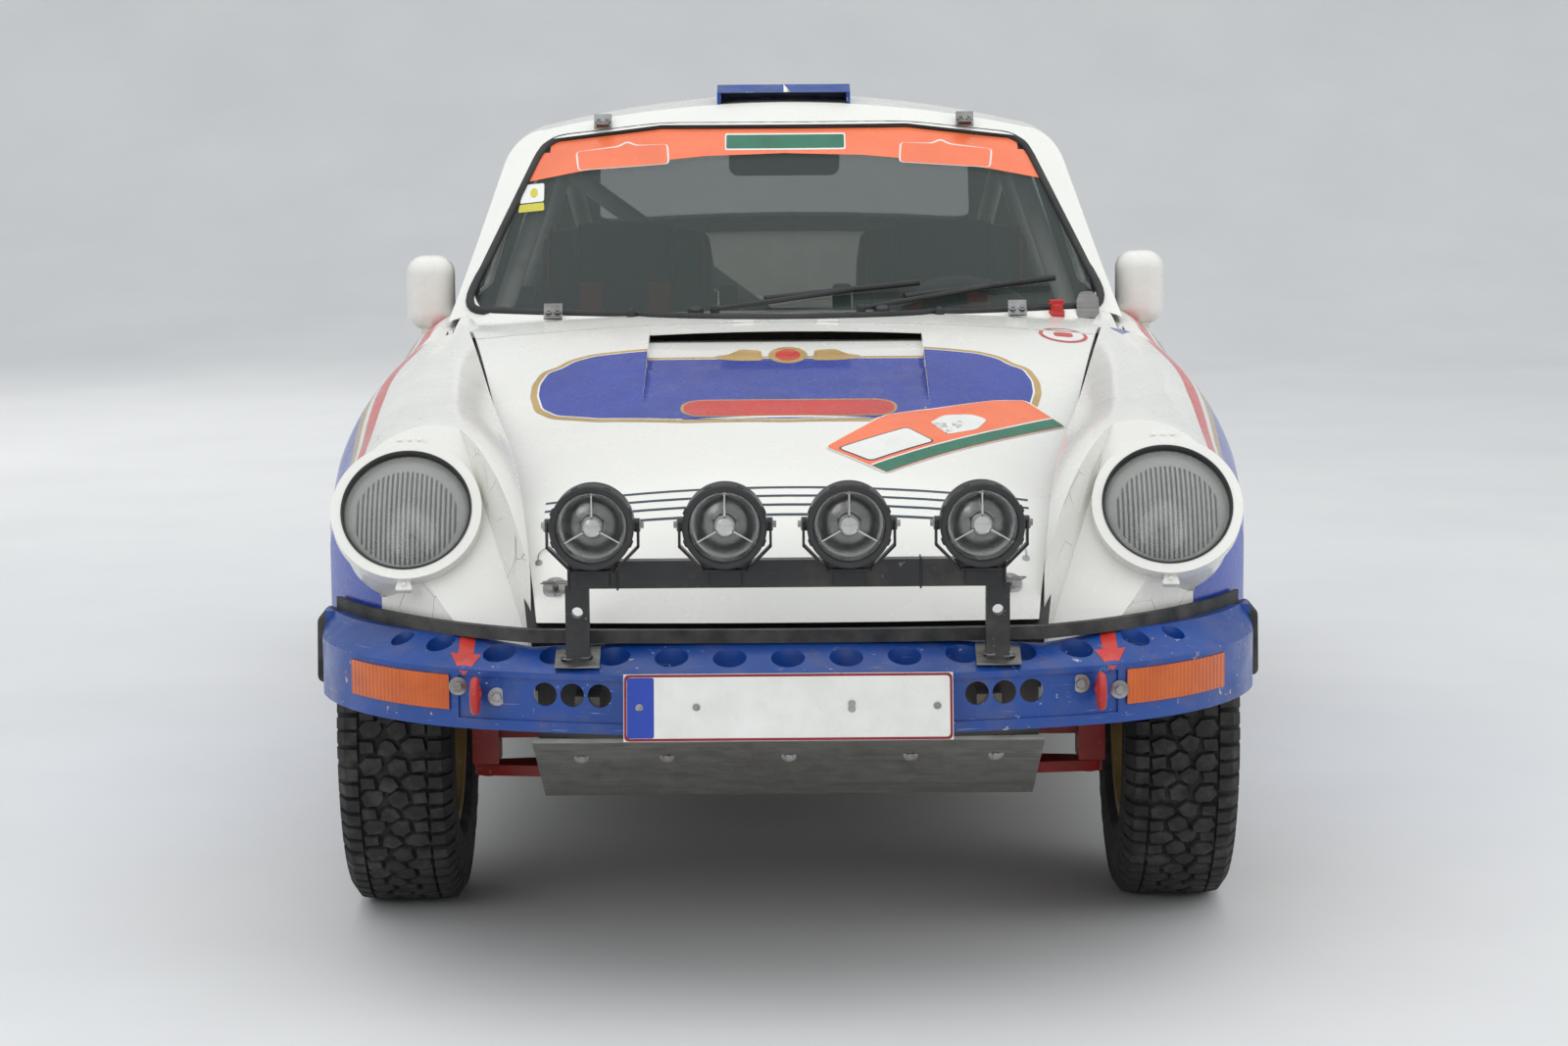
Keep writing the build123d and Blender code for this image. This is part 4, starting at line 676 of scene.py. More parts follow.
FINISHES = (
    (white_paint, "hood cowl roof engine_lid door_mirror_left door_mirror_right headlamps rear_bulkhead"),
    (side_paint, "front_fender_left front_fender_right rear_quarter_left rear_quarter_right"),
    (door_paint, "door_left door_right"),
    (blue_paint, "front_bumper rear_bumper roof_scoop"),
    (under_paint, "floor_pan sills luggage_bay strut_towers rear_rails nose_panel"),
    (rubber, "bumper_strip"),
    (amber, "indicators"),
    (plate_paint, "number_plate"),
    (red_paint, "tow_loops front_arms knuckle_left knuckle_right"),
    (shaded_alloy, "skid_plate lamp_feet engine_block"),
    (lens_glass, "headlamp_lenses"),
    (plastic, "auxiliary_lamps wipers inside_mirror"),
    (black_paint, "lamp_bar"),
    (red_lens, "tail_lamps"),
    (seat_cloth, "seats"),
    (cage_paint, "roll_cage"),
    (trim, "dashboard steering_wheel"),
    (iron, "rear_axle"),
    (steel, "muffler"),
    (screen_glass, "windscreen"),
    (clear_glass, "rear_window quarter_windows door_glass_left door_glass_right"),
    (gold_paint, "wheel_front_left wheel_front_right wheel_rear_left wheel_rear_right"),
    (tread_rubber, "tyre_front_left tyre_front_right tyre_rear_left tyre_rear_right"),
)
for finish, names in FINISHES:
    for node in names.split():
        nodes[node].data.materials.clear()
        nodes[node].data.materials.append(finish)

# Floor, light and camera
scene = bpy.context.scene
world = bpy.data.worlds.new("studio")
scene.world = world
world.use_nodes = True
wt = world.node_tree
back = wt.nodes["Background"]
path, way, height, seen, sky, shade = (
    wt.nodes.new("ShaderNode" + kind)
    for kind in ("LightPath", "TexCoord", "SeparateXYZ", "Math", "ValToRGB", "Mix")
)
seen.operation = "MAXIMUM"
sky.color_ramp.elements[0].color = (0.48, 0.49, 0.50, 1)
sky.color_ramp.elements[1].color = (0.92, 0.95, 0.98, 1)
sky.color_ramp.elements[1].position = 0.75
sky.color_ramp.elements.new(0.12).color = (0.58, 0.60, 0.62, 1)
shade.data_type = "RGBA"
shade.inputs[7].default_value = (0.78, 0.79, 0.79, 1)
for source, socket in (
    (path.outputs["Is Camera Ray"], seen.inputs[0]),
    (path.outputs["Is Transmission Ray"], seen.inputs[1]),
    (way.outputs["Generated"], height.inputs[0]),
    (height.outputs["Z"], sky.inputs[0]),
    (sky.outputs["Color"], shade.inputs[6]),
    (seen.outputs[0], shade.inputs[0]),
    (shade.outputs[2], back.inputs["Color"]),
):
    wt.links.new(source, socket)
back.inputs["Strength"].default_value = 1.0

floor_look = Look("floor", 0.8)
floor_look.colour(floor_look.mix(floor_look.cloud(1.5), (0.68, 0.68, 0.68), (0.72, 0.72, 0.715)))
floor_look.bump(floor_look.noise(60.0, 4.0), 0.15, 0.002)
# The floor's course in y and z: flat under the camera and the car, then curved up into a wall
COVE_Y, COVE_R, COVE_TOP, COVE_HALF = 9.0, 7.0, 20.0, 40
cove = [(-30.0, 0.0), (COVE_Y, 0.0)]
cove += [(COVE_Y + COVE_R * sin(radians(a)), COVE_R - COVE_R * cos(radians(a))) for a in range(3, 91, 3)]
cove.append((COVE_Y + COVE_R, COVE_TOP))
fm = bpy.data.meshes.new("floor")
fm.from_pydata(
    [(x, y, z) for y, z in cove for x in (-COVE_HALF, COVE_HALF)], [],
    [(2 * i, 2 * i + 1, 2 * i + 3, 2 * i + 2) for i in range(len(cove) - 1)],
)
fm.shade_smooth()
fm.materials.append(floor_look.mat)
floor = placed("floor", fm)


def softbox(name, place, aim, size, power, colour=(1, 1, 1)):
    light = bpy.data.lights.new(name, "AREA")
    light.shape = "RECTANGLE"
    light.size, light.size_y = size
    light.energy = power
    light.color = colour
    ob = placed(name, light)
    ob.visible_glossy = False
    ob.location = place
    ob.rotation_euler = (Vector(aim) - Vector(place)).to_track_quat("-Z", "Y").to_euler()


softbox("sky", (0, -1.5, 6.0), (0, 0, 0), (7, 9), 150, (0.97, 0.99, 1.0))
softbox("front", (-3.5, -8.0, 3.6), (0, -1.0, 0.6), (4, 3), 70)
softbox("side", (6.0, -2.5, 3.0), (0, 0, 0.7), (4, 3), 50, (1.0, 0.98, 0.95))
softbox("rear", (-4.0, 7.0, 4.0), (0, 1.0, 0.6), (5, 3), 110)

# The photograph's camera: its distance from the bumper face, its height, and its turns in degrees
CAMERA_AWAY, CAMERA_UP, LOOKS_DOWN, ROLL = 5.74, 1.60, 7.83, -0.45
cam = bpy.data.cameras.new("camera")
cam.lens = 85.0
cam.sensor_width = 36.0
cam.shift_x = -3.0 / 1600.0
cam.clip_end = 200.0
camera = placed("camera", cam)
camera.matrix_world = (
    Matrix.Translation((0.0, NOSE - CAMERA_AWAY, CAMERA_UP))
    @ Matrix.Rotation(radians(90 - LOOKS_DOWN), 4, "X")
    @ Matrix.Rotation(radians(ROLL), 4, "Z")
)
scene.camera = camera
scene.view_settings.view_transform = "Standard"

# Tyres
TRACK_X, HUB = 0.69, 0.335
PITCHES, GROOVE = 34, 0.011
CROWN = ((0.0, 0.335), (0.0585, 0.335), (0.0845, 0.331), (0.1003, 0.3055))


def crown_radius(v):
    v = abs(v)
    for (v0, r0), (v1, r1) in zip(CROWN, CROWN[1:]):
        if v <= v1:
            return r0 + (r1 - r0) * (v - v0) / (v1 - v0)
    return CROWN[-1][1]


def tyre_mesh():
    shape = Shape()
    side = [
        (0.0758, 0.191), (0.0762, 0.2035), (0.0930, 0.2140), (0.0945, 0.2165), (0.0965, 0.2180),
        (0.1000, 0.2350), (0.1018, 0.2500), (0.1008, 0.2515), (0.1012, 0.2700), (0.1005, 0.2850),
        (0.0985, 0.3000), (0.0900, 0.3150), (0.0780, 0.3230), (0.0500, 0.3240), (0.0, 0.3240),
    ]
    profile = [(-h, r) for h, r in side] + [(h, r) for h, r in reversed(side[:-1])]
    shape.lathe(profile, (0, 0, 0), (1, 0, 0), 120, ends=False)
    step = 2 * pi / PITCHES
    centre = [
        [(-0.20, -0.022), (0.12, -0.026), (0.30, -0.010), (0.22, 0.004), (-0.06, 0.010), (-0.26, -0.004)],
        [(0.34, 0.000), (0.58, -0.010), (0.78, 0.006), (0.68, 0.026), (0.38, 0.022), (0.28, 0.012)],
        [(0.24, -0.053), (0.56, -0.058), (0.70, -0.040), (0.60, -0.018), (0.40, -0.014), (0.22, -0.030)],
        [(-0.26, 0.020), (-0.02, 0.018), (0.20, 0.028), (0.24, 0.050), (-0.06, 0.058), (-0.28, 0.046)],
        [(-0.22, -0.056), (0.10, -0.058), (0.16, -0.034), (-0.18, -0.032)],
        [(0.34, 0.034), (0.64, 0.032), (0.66, 0.056), (0.32, 0.058)],
    ]
    for p in range(PITCHES):
        a0 = p * step
        wobble = 0.04 * sin(p * 2.4)
        for block in centre:
            mu, mv = centre_of(block)
            rows = []
            for depth, wide in ((GROOVE, 1.10), (0.0012, 1.0), (0.0, 0.95)):
                row = []
                for u, v in block:
                    u2, v2 = mu + (u - mu) * wide + wobble, mv + (v - mv) * wide
                    a, r = a0 + u2 * step, crown_radius(v2) - depth
                    row.append((v2, r * sin(a), r * cos(a)))
                rows.append(row)
            shape.rings(rows)
        for hand in (-1, 1):
            shift = (0.25 if hand > 0 else 0.0) + wobble
            for u0, u1, foot in ((-0.19, 0.21, 0.278), (0.31, 0.69, 0.292)):
                # Each row down the shoulder: outer point, inner point, and how far its ends lean
                line = (
                    (0.0615, 0.3345, 0.0615, 0.324, 0.05), (0.0845, 0.3310, 0.0780, 0.318, 0.0),
                    (0.0985, 0.3120, 0.0930, 0.306, -0.01), (0.1012, foot, 0.0990, foot, -0.03),
                )
                rows = []
                for v, r, inner_v, inner, lean in line:
                    row = []
                    for u, deep in ((u0 - lean, True), (u0, False), (u1 - 0.05, False), (u1 + lean, True)):
                        a = a0 + (u + shift) * step
                        vv, rr = (inner_v, inner) if deep else (v, r)
                        row.append((hand * vv, rr * sin(a), rr * cos(a)))
                    rows.append(row)
                shape.rings(rows)
    return shape


tyres = tyre_mesh()
for end, y in (("front", FRONT), ("rear", REAR)):
    for side, hand in SIDES:
        name = f"{end}_{side}"
        tyre = tyres.make(f"tread_{name}", tread_rubber, f"wheel_{name}", 30.0)
        if name != "front_left":
            half_turn = Matrix.Rotation(0.0 if hand > 0 else pi, 4, "Z")
            tyre.data.transform(half_turn @ Matrix.Rotation(0.13 * len(end + side), 4, "X"))
        tyre.matrix_world = Matrix.Translation((TRACK_X * hand, y, HUB))
        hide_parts(f"tyre_{name}")


# Faces of the carried-over solids that have another finish
def paint_where(node, mat, test):
    me = nodes[node].data
    me.materials.append(mat)
    slot = len(me.materials) - 1
    for p in me.polygons:
        if test(p.center, p.normal):
            p.material_index = slot


# The headlamp's own frame: its middle, up along its leaning face, and outward from it
LAMP_O = Vector((LAMP_X, at(0.345), LAMP_Z))
LAMP_B = Vector((0, 0.5463, 0.8377))
LAMP_C = Vector((0, -0.8377, 0.5463))
AUX_XS, AUX_Z, AUX_Y = (-0.307, -0.098, 0.098, 0.307), 0.803, at(0.012)


def lamp_point(a, b, c, side=1):
    p = LAMP_O + Vector((a, 0, 0)) + LAMP_B * b + LAMP_C * c
    return Vector((p.x * side, p.y, p.z))


def in_bowl(c, n):
    d = Vector((abs(c.x), c.y, c.z)) - LAMP_O
    return d.dot(LAMP_C) < 0.0078 and (d - LAMP_C * d.dot(LAMP_C)).length < 0.1045


def in_aux(c, n):
    d = min(sqrt((c.x - x) ** 2 + (c.z - AUX_Z) ** 2) for x in AUX_XS)
    return d < 0.0568 and AUX_Y + 0.0005 < c.y < AUX_Y + 0.045


def in_louvres(c, n):
    return abs(n.y) > 0.8 and abs(c.x) < 0.302 and REAR + 0.24 < c.y < REAR + 0.46


def in_scoop_mouth(c, n):
    return abs(c.x) < 0.1295 and c.y < at(2.075) and (n.z < -0.2 or abs(n.x) > 0.9 or n.y < -0.9)


paint_where("headlamps", chrome, in_bowl)
paint_where("auxiliary_lamps", chrome, in_aux)
paint_where("roof", trim, lambda c, n: c.z > 0.98 and n.dot(c - Vector((0, 0.1, 0.7))) < 0)
for side, hand in SIDES:
    quarter, fender = f"rear_quarter_{side}", f"front_fender_{side}"
    paint_where(quarter, under_paint, lambda c, n: n.x * hand < -0.3 and n.z < 0.05)
    paint_where(fender, under_paint, lambda c, n: n.x * hand < -0.3 and n.z < 0.05 and c.y > at(0.4))
    paint_where(fender, white_paint, lambda c, n: n.x * hand < 0.1 and n.z > 0.05)
    paint_where(f"door_{side}", trim, lambda c, n: abs(c.x) < 0.735 and n.x * hand < -0.3)
paint_where("hood", under_paint, lambda c, n: n.z < -0.5)
paint_where("engine_lid", seal_rubber, in_louvres)
paint_where("roof_scoop", seal_rubber, in_scoop_mouth)
paint_where("floor_pan", trim, lambda c, n: n.z > 0.5)
paint_where("sills", side_paint, lambda c, n: abs(c.x) > 0.70)


# Films on the hood, the windscreen, the fender, the plates and the bumper
def hood_film(name, outline, mat, lift=0.0006, cell=0.02):
    film(name, outline, "top", ["hood"], mat, "hood", cell, lift)


def screen_film(name, outline, mat, lift=0.0006, cell=0.02):
    film(name, outline, "front", ["windscreen"], mat, "chassis", cell, lift)


half = [
    (0.28, -1.066), (0.352, -1.072), (0.392, -1.092), (0.412, -1.122), (0.436, -1.136), (0.449, -1.19),
    (0.449, -1.243), (0.437, -1.31), (0.408, -1.352), (0.33, -1.392), (0.17, -1.437),
]
badge = rounded([(0.0, -1.062)] + half + [(0.0, -1.450)] + [(-x, y) for x, y in reversed(half)], 0.012, 3)
hood_film("hood_badge_edge", outset(badge, 0.012), print_gold, 0.0005)
hood_film("hood_badge_line", badge, print_white, 0.0007)
hood_film("hood_badge", outset(badge, -0.0035), print_blue, 0.0009)
pill = panel(-0.182, -1.322, 0.192, -1.410, 0.044, 8)
hood_film("hood_pill_edge", outset(pill, 0.005), print_gold, 0.0011)
hood_film("hood_pill", pill, print_red, 0.0013)
CREST_X, CREST_Y = 0.004, -1.044
hood_film("hood_crest_edge", oval(CREST_X, CREST_Y, 0.036, 0.052), print_gold, 0.0011, 0.01)
hood_film("hood_crest", oval(CREST_X, CREST_Y, 0.023, 0.036), print_red, 0.0013, 0.01)
leaf = [
    (0.046, -1.078), (0.085, -1.080), (0.128, -1.070), (0.136, -1.048), (0.112, -1.040), (0.088, -1.006),
    (0.050, -1.014),
]
for side, hand in SIDES:
    outline = rounded([(CREST_X + x * hand, y) for x, y in leaf], 0.008, 3)
    hood_film(f"hood_leaf_{side}", outline, print_gold, 0.0011, 0.01)

# The rally board lies askew: its lower corner, and the directions along it and up it
BOARD_AT, ALONG, UP = Vector((0.17, -1.663)), Vector((0.759, 0.651)), Vector((-0.651, 0.759))


def askew(points):
    return [tuple(BOARD_AT + ALONG * u + UP * v) for u, v in points]


board = [
    (0, 0), (0.4255, 0), (0.437, 0.1165), (0.379, 0.140), (0.25, 0.159), (0.168, 0.185), (0.091, 0.163),
    (-0.018, 0.1355),
]
swirl = [
    (0.19, 0.060), (0.26, 0.052), (0.31, 0.078), (0.30, 0.108), (0.25, 0.128), (0.20, 0.112),
    (0.24, 0.106), (0.268, 0.090), (0.24, 0.072),
]
band = [(0.001, 0.002), (0.424, 0.002), (0.4275, 0.034), (-0.003, 0.034)]
band_line = [(-0.003, 0.034), (0.4275, 0.034), (0.428, 0.038), (-0.0035, 0.038)]
field_rim = [(0.004, 0.046), (0.156, 0.046), (0.156, 0.120), (-0.008, 0.120)]
field = [(0.007, 0.049), (0.153, 0.049), (0.153, 0.117), (-0.005, 0.117)]
hood_film("rally_board_edge", askew(rounded(grown(board, 0.004), 0.012, 3)), print_white, 0.0011)
hood_film("rally_board", askew(rounded(board, 0.010, 3)), print_orange, 0.0014)
hood_film("rally_board_band", askew(band), print_green, 0.0017)
hood_film("rally_board_line", askew(band_line), print_white, 0.0018)
hood_film("rally_number_rim", askew(rounded(field_rim, 0.012, 4)), print_dark, 0.0017)
hood_film("rally_number_field", askew(rounded(field, 0.010, 4)), print_white, 0.0020)
hood_film("rally_board_wave", askew(rounded(swirl, 0.012, 3)), print_white, 0.0018, 0.01)
for row, y in enumerate((-1.716, -1.741, -1.766, -1.792)):
    stripe = [(-0.405, y - 0.003), (0.405, y - 0.003), (0.405, y + 0.003), (-0.405, y + 0.003)]
    hood_film(f"hood_stripe_{row}", stripe, print_dark)

strip_half = [(0.532, 1.262), (0.42, 1.284), (0.318, 1.300), (0.16, 1.315)]
strip = [(-0.497, 1.338), (-0.25, 1.367), (0.25, 1.367), (0.497, 1.338)]
strip += strip_half + [(0, 1.320)] + [(-x, z) for x, z in reversed(strip_half)]
screen_film("sun_strip", strip, print_orange)
screen_film("sun_strip_box_edge", panel(-0.120, 1.326, 0.125, 1.358, 0.004), print_white, 0.0009)
screen_film("sun_strip_box", panel(-0.117, 1.329, 0.122, 1.355, 0.003), print_green, 0.0012)
frame_half = [
    (0.232, 1.300), (0.420, 1.286), (0.427, 1.322), (0.34, 1.334), (0.32, 1.344), (0.30, 1.336),
    (0.236, 1.338),
]
for side, hand in SIDES:
    line = [(x * hand, z) for x, z in frame_half]
    inside = rounded(grown(line, -0.0035), 0.006, 3)
    screen_film(f"sun_strip_frame_{side}", rounded(line, 0.008, 3), print_white, 0.0009, 0.01)
    screen_film(f"sun_strip_field_{side}", inside, print_orange, 0.0012, 0.01)
sticker = rounded([(-0.536, 1.222), (-0.486, 1.228), (-0.488, 1.262), (-0.528, 1.258)], 0.004, 3)
sticker_low = rounded([(-0.538, 1.205), (-0.484, 1.211), (-0.486, 1.226), (-0.536, 1.220)], 0.003, 3)
screen_film("screen_sticker", sticker, print_white, cell=0.01)
screen_film("screen_sticker_low", sticker_low, print_yellow, cell=0.01)
screen_film("screen_sticker_mark", oval(-0.508, 1.243, 0.008, 0.009), print_yellow, 0.0009, 0.005)

round_mark = ["front_fender_left", "cowl", "hood"]
for name, outline, finish, lift in (
    ("oval_rim", oval(0.524, -0.915, 0.046, 0.050, 0.1), print_red, 0.0006),
    ("oval_field", oval(0.524, -0.915, 0.039, 0.041, 0.1), print_white, 0.0009),
    ("oval_bar", panel(0.506, -0.930, 0.542, -0.900, 0.008, 4), print_red, 0.0012),
):
    film(name, outline, "top", round_mark, finish, cell=0.01, lift=lift)
triangle = rounded([(0.614, -0.80), (0.662, -0.812), (0.640, -0.872)], 0.004, 3)
film("triangle_mark", triangle, "top", ["front_fender_left"], print_blue, cell=0.01)

# Each film of the two plates: its left, low, right and high edges, corner, finish and lift
PLATE_FILMS = (
    ("plate_rim", "front", "number_plate", (-0.259, 0.4665, 0.259, 0.5685, 0.008), plate_red, 0.0003),
    ("plate_field", "front", "number_plate", (-0.255, 0.4705, 0.255, 0.5645, 0.006), plate_paint, 0.0006),
    ("plate_band", "front", "number_plate", (-0.2545, 0.471, -0.212, 0.564, 0.004), plate_blue, 0.0009),
    ("rear_plate_rim", "back", "rear_bumper", (-0.26, 0.535, 0.26, 0.645, 0.008), plate_red, 0.0002),
    ("rear_plate_field", "back", "rear_bumper", (-0.256, 0.539, 0.256, 0.641, 0.006), plate_paint, 0.0005),
    ("rear_plate_band", "back", "rear_bumper", (0.213, 0.540, 0.255, 0.640, 0.004), plate_blue, 0.0008),
)
for name, view, node, edges, finish, lift in PLATE_FILMS:
    film(name, panel(*edges, 4), view, [node], finish, cell=0.05, lift=lift)
for side, hand in SIDES:
    x = 0.520 * hand
    arrow = [(x - 0.013, 0.600), (x + 0.013, 0.600), (x + 0.013, 0.580), (x + 0.026, 0.580)]
    arrow += [(x, 0.553), (x - 0.026, 0.580), (x - 0.013, 0.580)]
    film(f"arrow_{side}", arrow, "front", ["front_bumper"], print_red, cell=0.008)
film("scoop_mark", [(-0.046, 1.41), (0.046, 1.41), (0.046, 1.50), (-0.046, 1.50)], "front", ["roof_scoop"],
     print_white)
film("rear_reflector", panel(-0.424, 0.672, 0.424, 0.758, 0.006), "back",
     ["roof", "rear_quarter_left", "rear_quarter_right"], red_lens, cell=0.04)


# Front: lamps, pins, clips, bolts
def bolt_on(shape, a, b, view, on, lift, direction, r, h):
    """A bolt where a flat view meets the named nodes."""
    hit = cast(a, b, view, on, lift)
    if hit:
        shape.bolt(hit, direction, r, h)


ring, screws, bulbs = Shape(), Shape(), Shape()
seal_profile = [(0.0, 0.1035), (0.012, 0.1035), (0.0155, 0.1060), (0.0150, 0.1085), (0.004, 0.1085)]
bulb_profile = [(0, 0.020), (0.02, 0.020), (0.022, 0.012), (0.045, 0.011), (0.050, 0.006), (0.051, 0.0)]
shade_profile = [(0, 0.0), (0.001, 0.024), (0.004, 0.024), (0.010, 0.0)]
for hand in (1, -1):
    ring.lathe(seal_profile, lamp_point(0, 0, 0.0125, hand), LAMP_C, 72, ends=False)
    for b, count, low_half, top_half in ((0.133, 3, 0.026, 0.018), (-0.131, 1, 0.015, 0.010)):
        tab = [(-low_half, -0.010), (low_half, -0.010), (top_half, 0.010), (-top_half, 0.010)]
        foot = lamp_point(0, b, 0.002, hand)
        screws.slab(rounded(tab, 0.005, 3), 0.0, 0.014, (1, 0, 0), LAMP_B, LAMP_C, foot, 0.0015)
        for k in range(count):
            a = (k - (count - 1) / 2) * 0.016
            screws.bolt(lamp_point(a * hand, b, 0.016, hand), LAMP_C, 0.0035, 0.003)
    bulbs.lathe(bulb_profile, lamp_point(0, 0, -0.074, hand), LAMP_C, 24)
    bulbs.lathe(shade_profile, lamp_point(0, 0, -0.018, hand), LAMP_C, 24)
ring.make("headlamp_seals", seal_rubber)
screws.make("headlamp_tabs", white_paint)
bulbs.make("headlamp_bulbs", chrome)

rims, glasses, yokes, hubs, bolts = Shape(), Shape(), Shape(), Shape(), Shape()
rim_profile = [
    (0.012, 0.0668), (-0.0035, 0.0668), (-0.006, 0.0645), (-0.006, 0.0575), (-0.001, 0.0555),
    (0.006, 0.0550),
]
glass_profile = [(0.004, 0.0555), (0.0005, 0.0540), (-0.0015, 0.035), (-0.0022, 0.0)]
YOKE_Y = AUX_Y + 0.034
yoke = [(-0.072, 0.004), (-0.072, -0.034), (-0.034, -0.0725)]
yoke += [(-x, z) for x, z in reversed(yoke)]
for x in AUX_XS:
    front = Vector((x, AUX_Y, AUX_Z))
    rims.lathe(rim_profile, front, (0, 1, 0), 56, ends=False)
    for k in range(8):
        a = pi / 8 + k * pi / 4
        clip = front + Vector((cos(a) * 0.0660, 0.004, sin(a) * 0.0660))
        rims.box(clip, (0.012, 0.012, 0.006), 0.0015, Matrix.Rotation(-a + pi / 2, 3, "Y"))
    glasses.lathe(glass_profile, front, (0, 1, 0), 48, ends=False)
    hubs.lathe([(0.040, 0.018), (0.012, 0.016), (0.008, 0.013), (0.006, 0.0)], front, (0, 1, 0), 28)
    for k in range(3):
        a = pi / 2 + k * 2 * pi / 3
        spoke = front + Vector((cos(a), 0, sin(a))) * 0.034 + Vector((0, 0.026, 0))
        hubs.box(spoke, (0.004, 0.028, 0.038), 0.001, Matrix.Rotation(pi / 2 - a, 3, "Y"))
    points = [Vector((x + dx, YOKE_Y, AUX_Z + dz)) for dx, dz in yoke]
    for a, b in zip(points, points[1:]):
        d = b - a
        turn = Matrix.Rotation(-atan2(d.z, d.x), 3, "Y")
        yokes.box((a + b) / 2, (d.length + 0.004, 0.026, 0.004), 0.001, turn)
    for hand in (-1, 1):
        pivot = (x + hand * 0.066, YOKE_Y, AUX_Z)
        yokes.lathe([(0, 0.011), (0.008, 0.011), (0.010, 0.008)], pivot, (hand, 0, 0), 20)
        bolts.bolt((x + hand * 0.0745, YOKE_Y, AUX_Z), (hand, 0, 0), 0.006, 0.005)
rims.make("aux_lamp_rims", plastic)
glasses.make("aux_lamp_glass", lamp_glass, angle=60)
yokes.make("aux_lamp_yokes", black_paint)
hubs.make("aux_lamp_baffles", chrome)
for hand in (-1, 1):
    for dx, z in ((-0.031, 0.535), (0.033, 0.521)):
        bolt_on(bolts, 0.499 * hand + dx, z, "front", ["front_bumper"], 0.0005, (0, -1, 0), 0.0085, 0.007)
    for x in (0.323, 0.351):
        on = ["lamp_feet", "front_bumper"]
        bolt_on(bolts, x * hand, at(0.088), "top", on, 0.0002, (0, 0, 1), 0.007, 0.006)
for x, z in ((-0.235, 0.518), (0.235, 0.518), (-0.145, 0.518), (0.10, 0.522), (0.10, 0.514)):
    bolt_on(bolts, x, z, "front", ["number_plate"], 0.001, (0, -1, 0), 0.0035, 0.002)
for x in (-0.34, -0.20, 0.0, 0.20, 0.34):
    bolt_on(bolts, x, 0.395, "front", ["skid_plate"], 0.0003, (0, -0.9, -0.4), 0.007, 0.005)
bolts.make("bolts_front", steel)

# Hood pins: each with a plate, a wire clip and a lanyard that lies on the hood
pins, plates = Shape(), Shape()
PIN_OUT, ACROSS = Vector((0, -0.75, 0.66)), Vector((1, 0, 0))
# The clip's wire, as places across the car and out along the pin
CLIP_WIRE = ((-0.024, 0.015), (0.020, 0.015), (0.026, 0.021), (0.010, 0.022), (-0.020, 0.020))
# The lanyard's course in the top view, from its eye to the pin: outward from the pin, and y
LANYARD = (
    (0.030, -1.868), (0.034, -1.852), (0.018, -1.838), (-0.010, -1.846), (-0.026, -1.880),
    (-0.022, -1.915), (-0.008, -1.935), (0.004, -1.928), (0.000, -1.918),
)
LANYARD_R = 0.00085


def lanyard(name, way):
    """A loop of steel wire laid along the way."""
    curve = bpy.data.curves.new("lanyard", "CURVE")
    curve.dimensions = "3D"
    curve.bevel_depth = LANYARD_R
    curve.bevel_resolution = 2
    line = curve.splines.new("NURBS")
    line.points.add(len(way) - 1)
    for point, w in zip(line.points, way):
        point.co = (*w, 1.0)
    line.order_u = 3
    line.use_endpoint_u = True
    curve.materials.append(steel)
    wire = placed(name, curve)
    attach(wire, "hood")
    bare = curve.copy()
    bare.bevel_depth = 0.0
    probe = bpy.data.objects.new("probe", bare)
    thread = [v.co.copy() for v in bpy.data.meshes.new_from_object(probe).vertices]
    bpy.data.objects.remove(probe)


for name, hand, px in (("pin_lanyard_right", -1, -0.378), ("pin_lanyard_left", 1, 0.362)):
    p = cast(px, -1.918, "top", ["hood"], 0.0)
    plates.lathe([(0.0, 0.021), (0.0015, 0.021), (0.0025, 0.018), (0.0025, 0.007)], p, PIN_OUT, 32)
    pins.lathe([(0, 0.0048), (0.020, 0.0048), (0.023, 0.003)], p, PIN_OUT, 16)
    pins.tube([p + ACROSS * a + PIN_OUT * b for a, b in CLIP_WIRE], 0.0014, 8)
    q = cast(px + 0.030 * hand, -1.868, "top", ["hood"], 0.0)
    plates.lathe([(0, 0.006), (0.002, 0.006), (0.003, 0.003)], q, PIN_OUT, 16)
    lanyard(name, [cast(px + dx * hand, y, "top", ["hood"], 0.0032) for dx, y in LANYARD])
pins.make("hood_pins", steel, "hood")
plates.make("hood_pin_plates", steel, "hood")

clips, nozzles, switch, tab, nuts = Shape(), Shape(), Shape(), Shape(), Shape()
lean = Matrix.Rotation(radians(-34), 3, "X")
for hand in (-1, 1):
    for x, z, on, rise, head in (
        (0.448, 1.018, ["cowl", "roof", "windscreen"], 0.012, 0.014),
        (0.371, 1.374, ["roof", "windscreen"], 0.006, 0.010),
    ):
        p = cast(x * hand, z, "front", on, 0.004)
        if p:
            clips.box(p + Vector((0, -0.006, rise)), (0.036, 0.006, 0.034), 0.001, lean)
            clips.box(p + Vector((0, -0.016, 0.002)), (0.028, 0.024, 0.004), 0.001)
            for dx in (0.009, -0.009):
                clips.bolt(p + Vector((dx, -0.012, head)), (0, -0.8, 0.6), 0.004, 0.004)
    p = cast(0.296 * hand, -0.772, "top", ["cowl"], 0.0)
    if p:
        nozzles.lathe([(0, 0.010), (0.006, 0.010), (0.012, 0.007), (0.016, 0.0)], p, (0, -0.2, 1), 20)
clips.make("screen_clips", steel)
nozzles.make("washer_nozzles", plastic)
knob = [(0, 0.016), (0.010, 0.016), (0.012, 0.013), (0.022, 0.012), (0.026, 0.010), (0.027, 0.0)]
p = cast(0.528, -0.690, "top", ["cowl", "front_fender_left"], 0.0)
switch.lathe(knob, p, (0, -0.3, 1), 28)
switch.box(p + Vector((0, -0.004, 0.028)), (0.030, 0.007, 0.010), 0.002)
switch.make("cut_off_switch", red_paint)
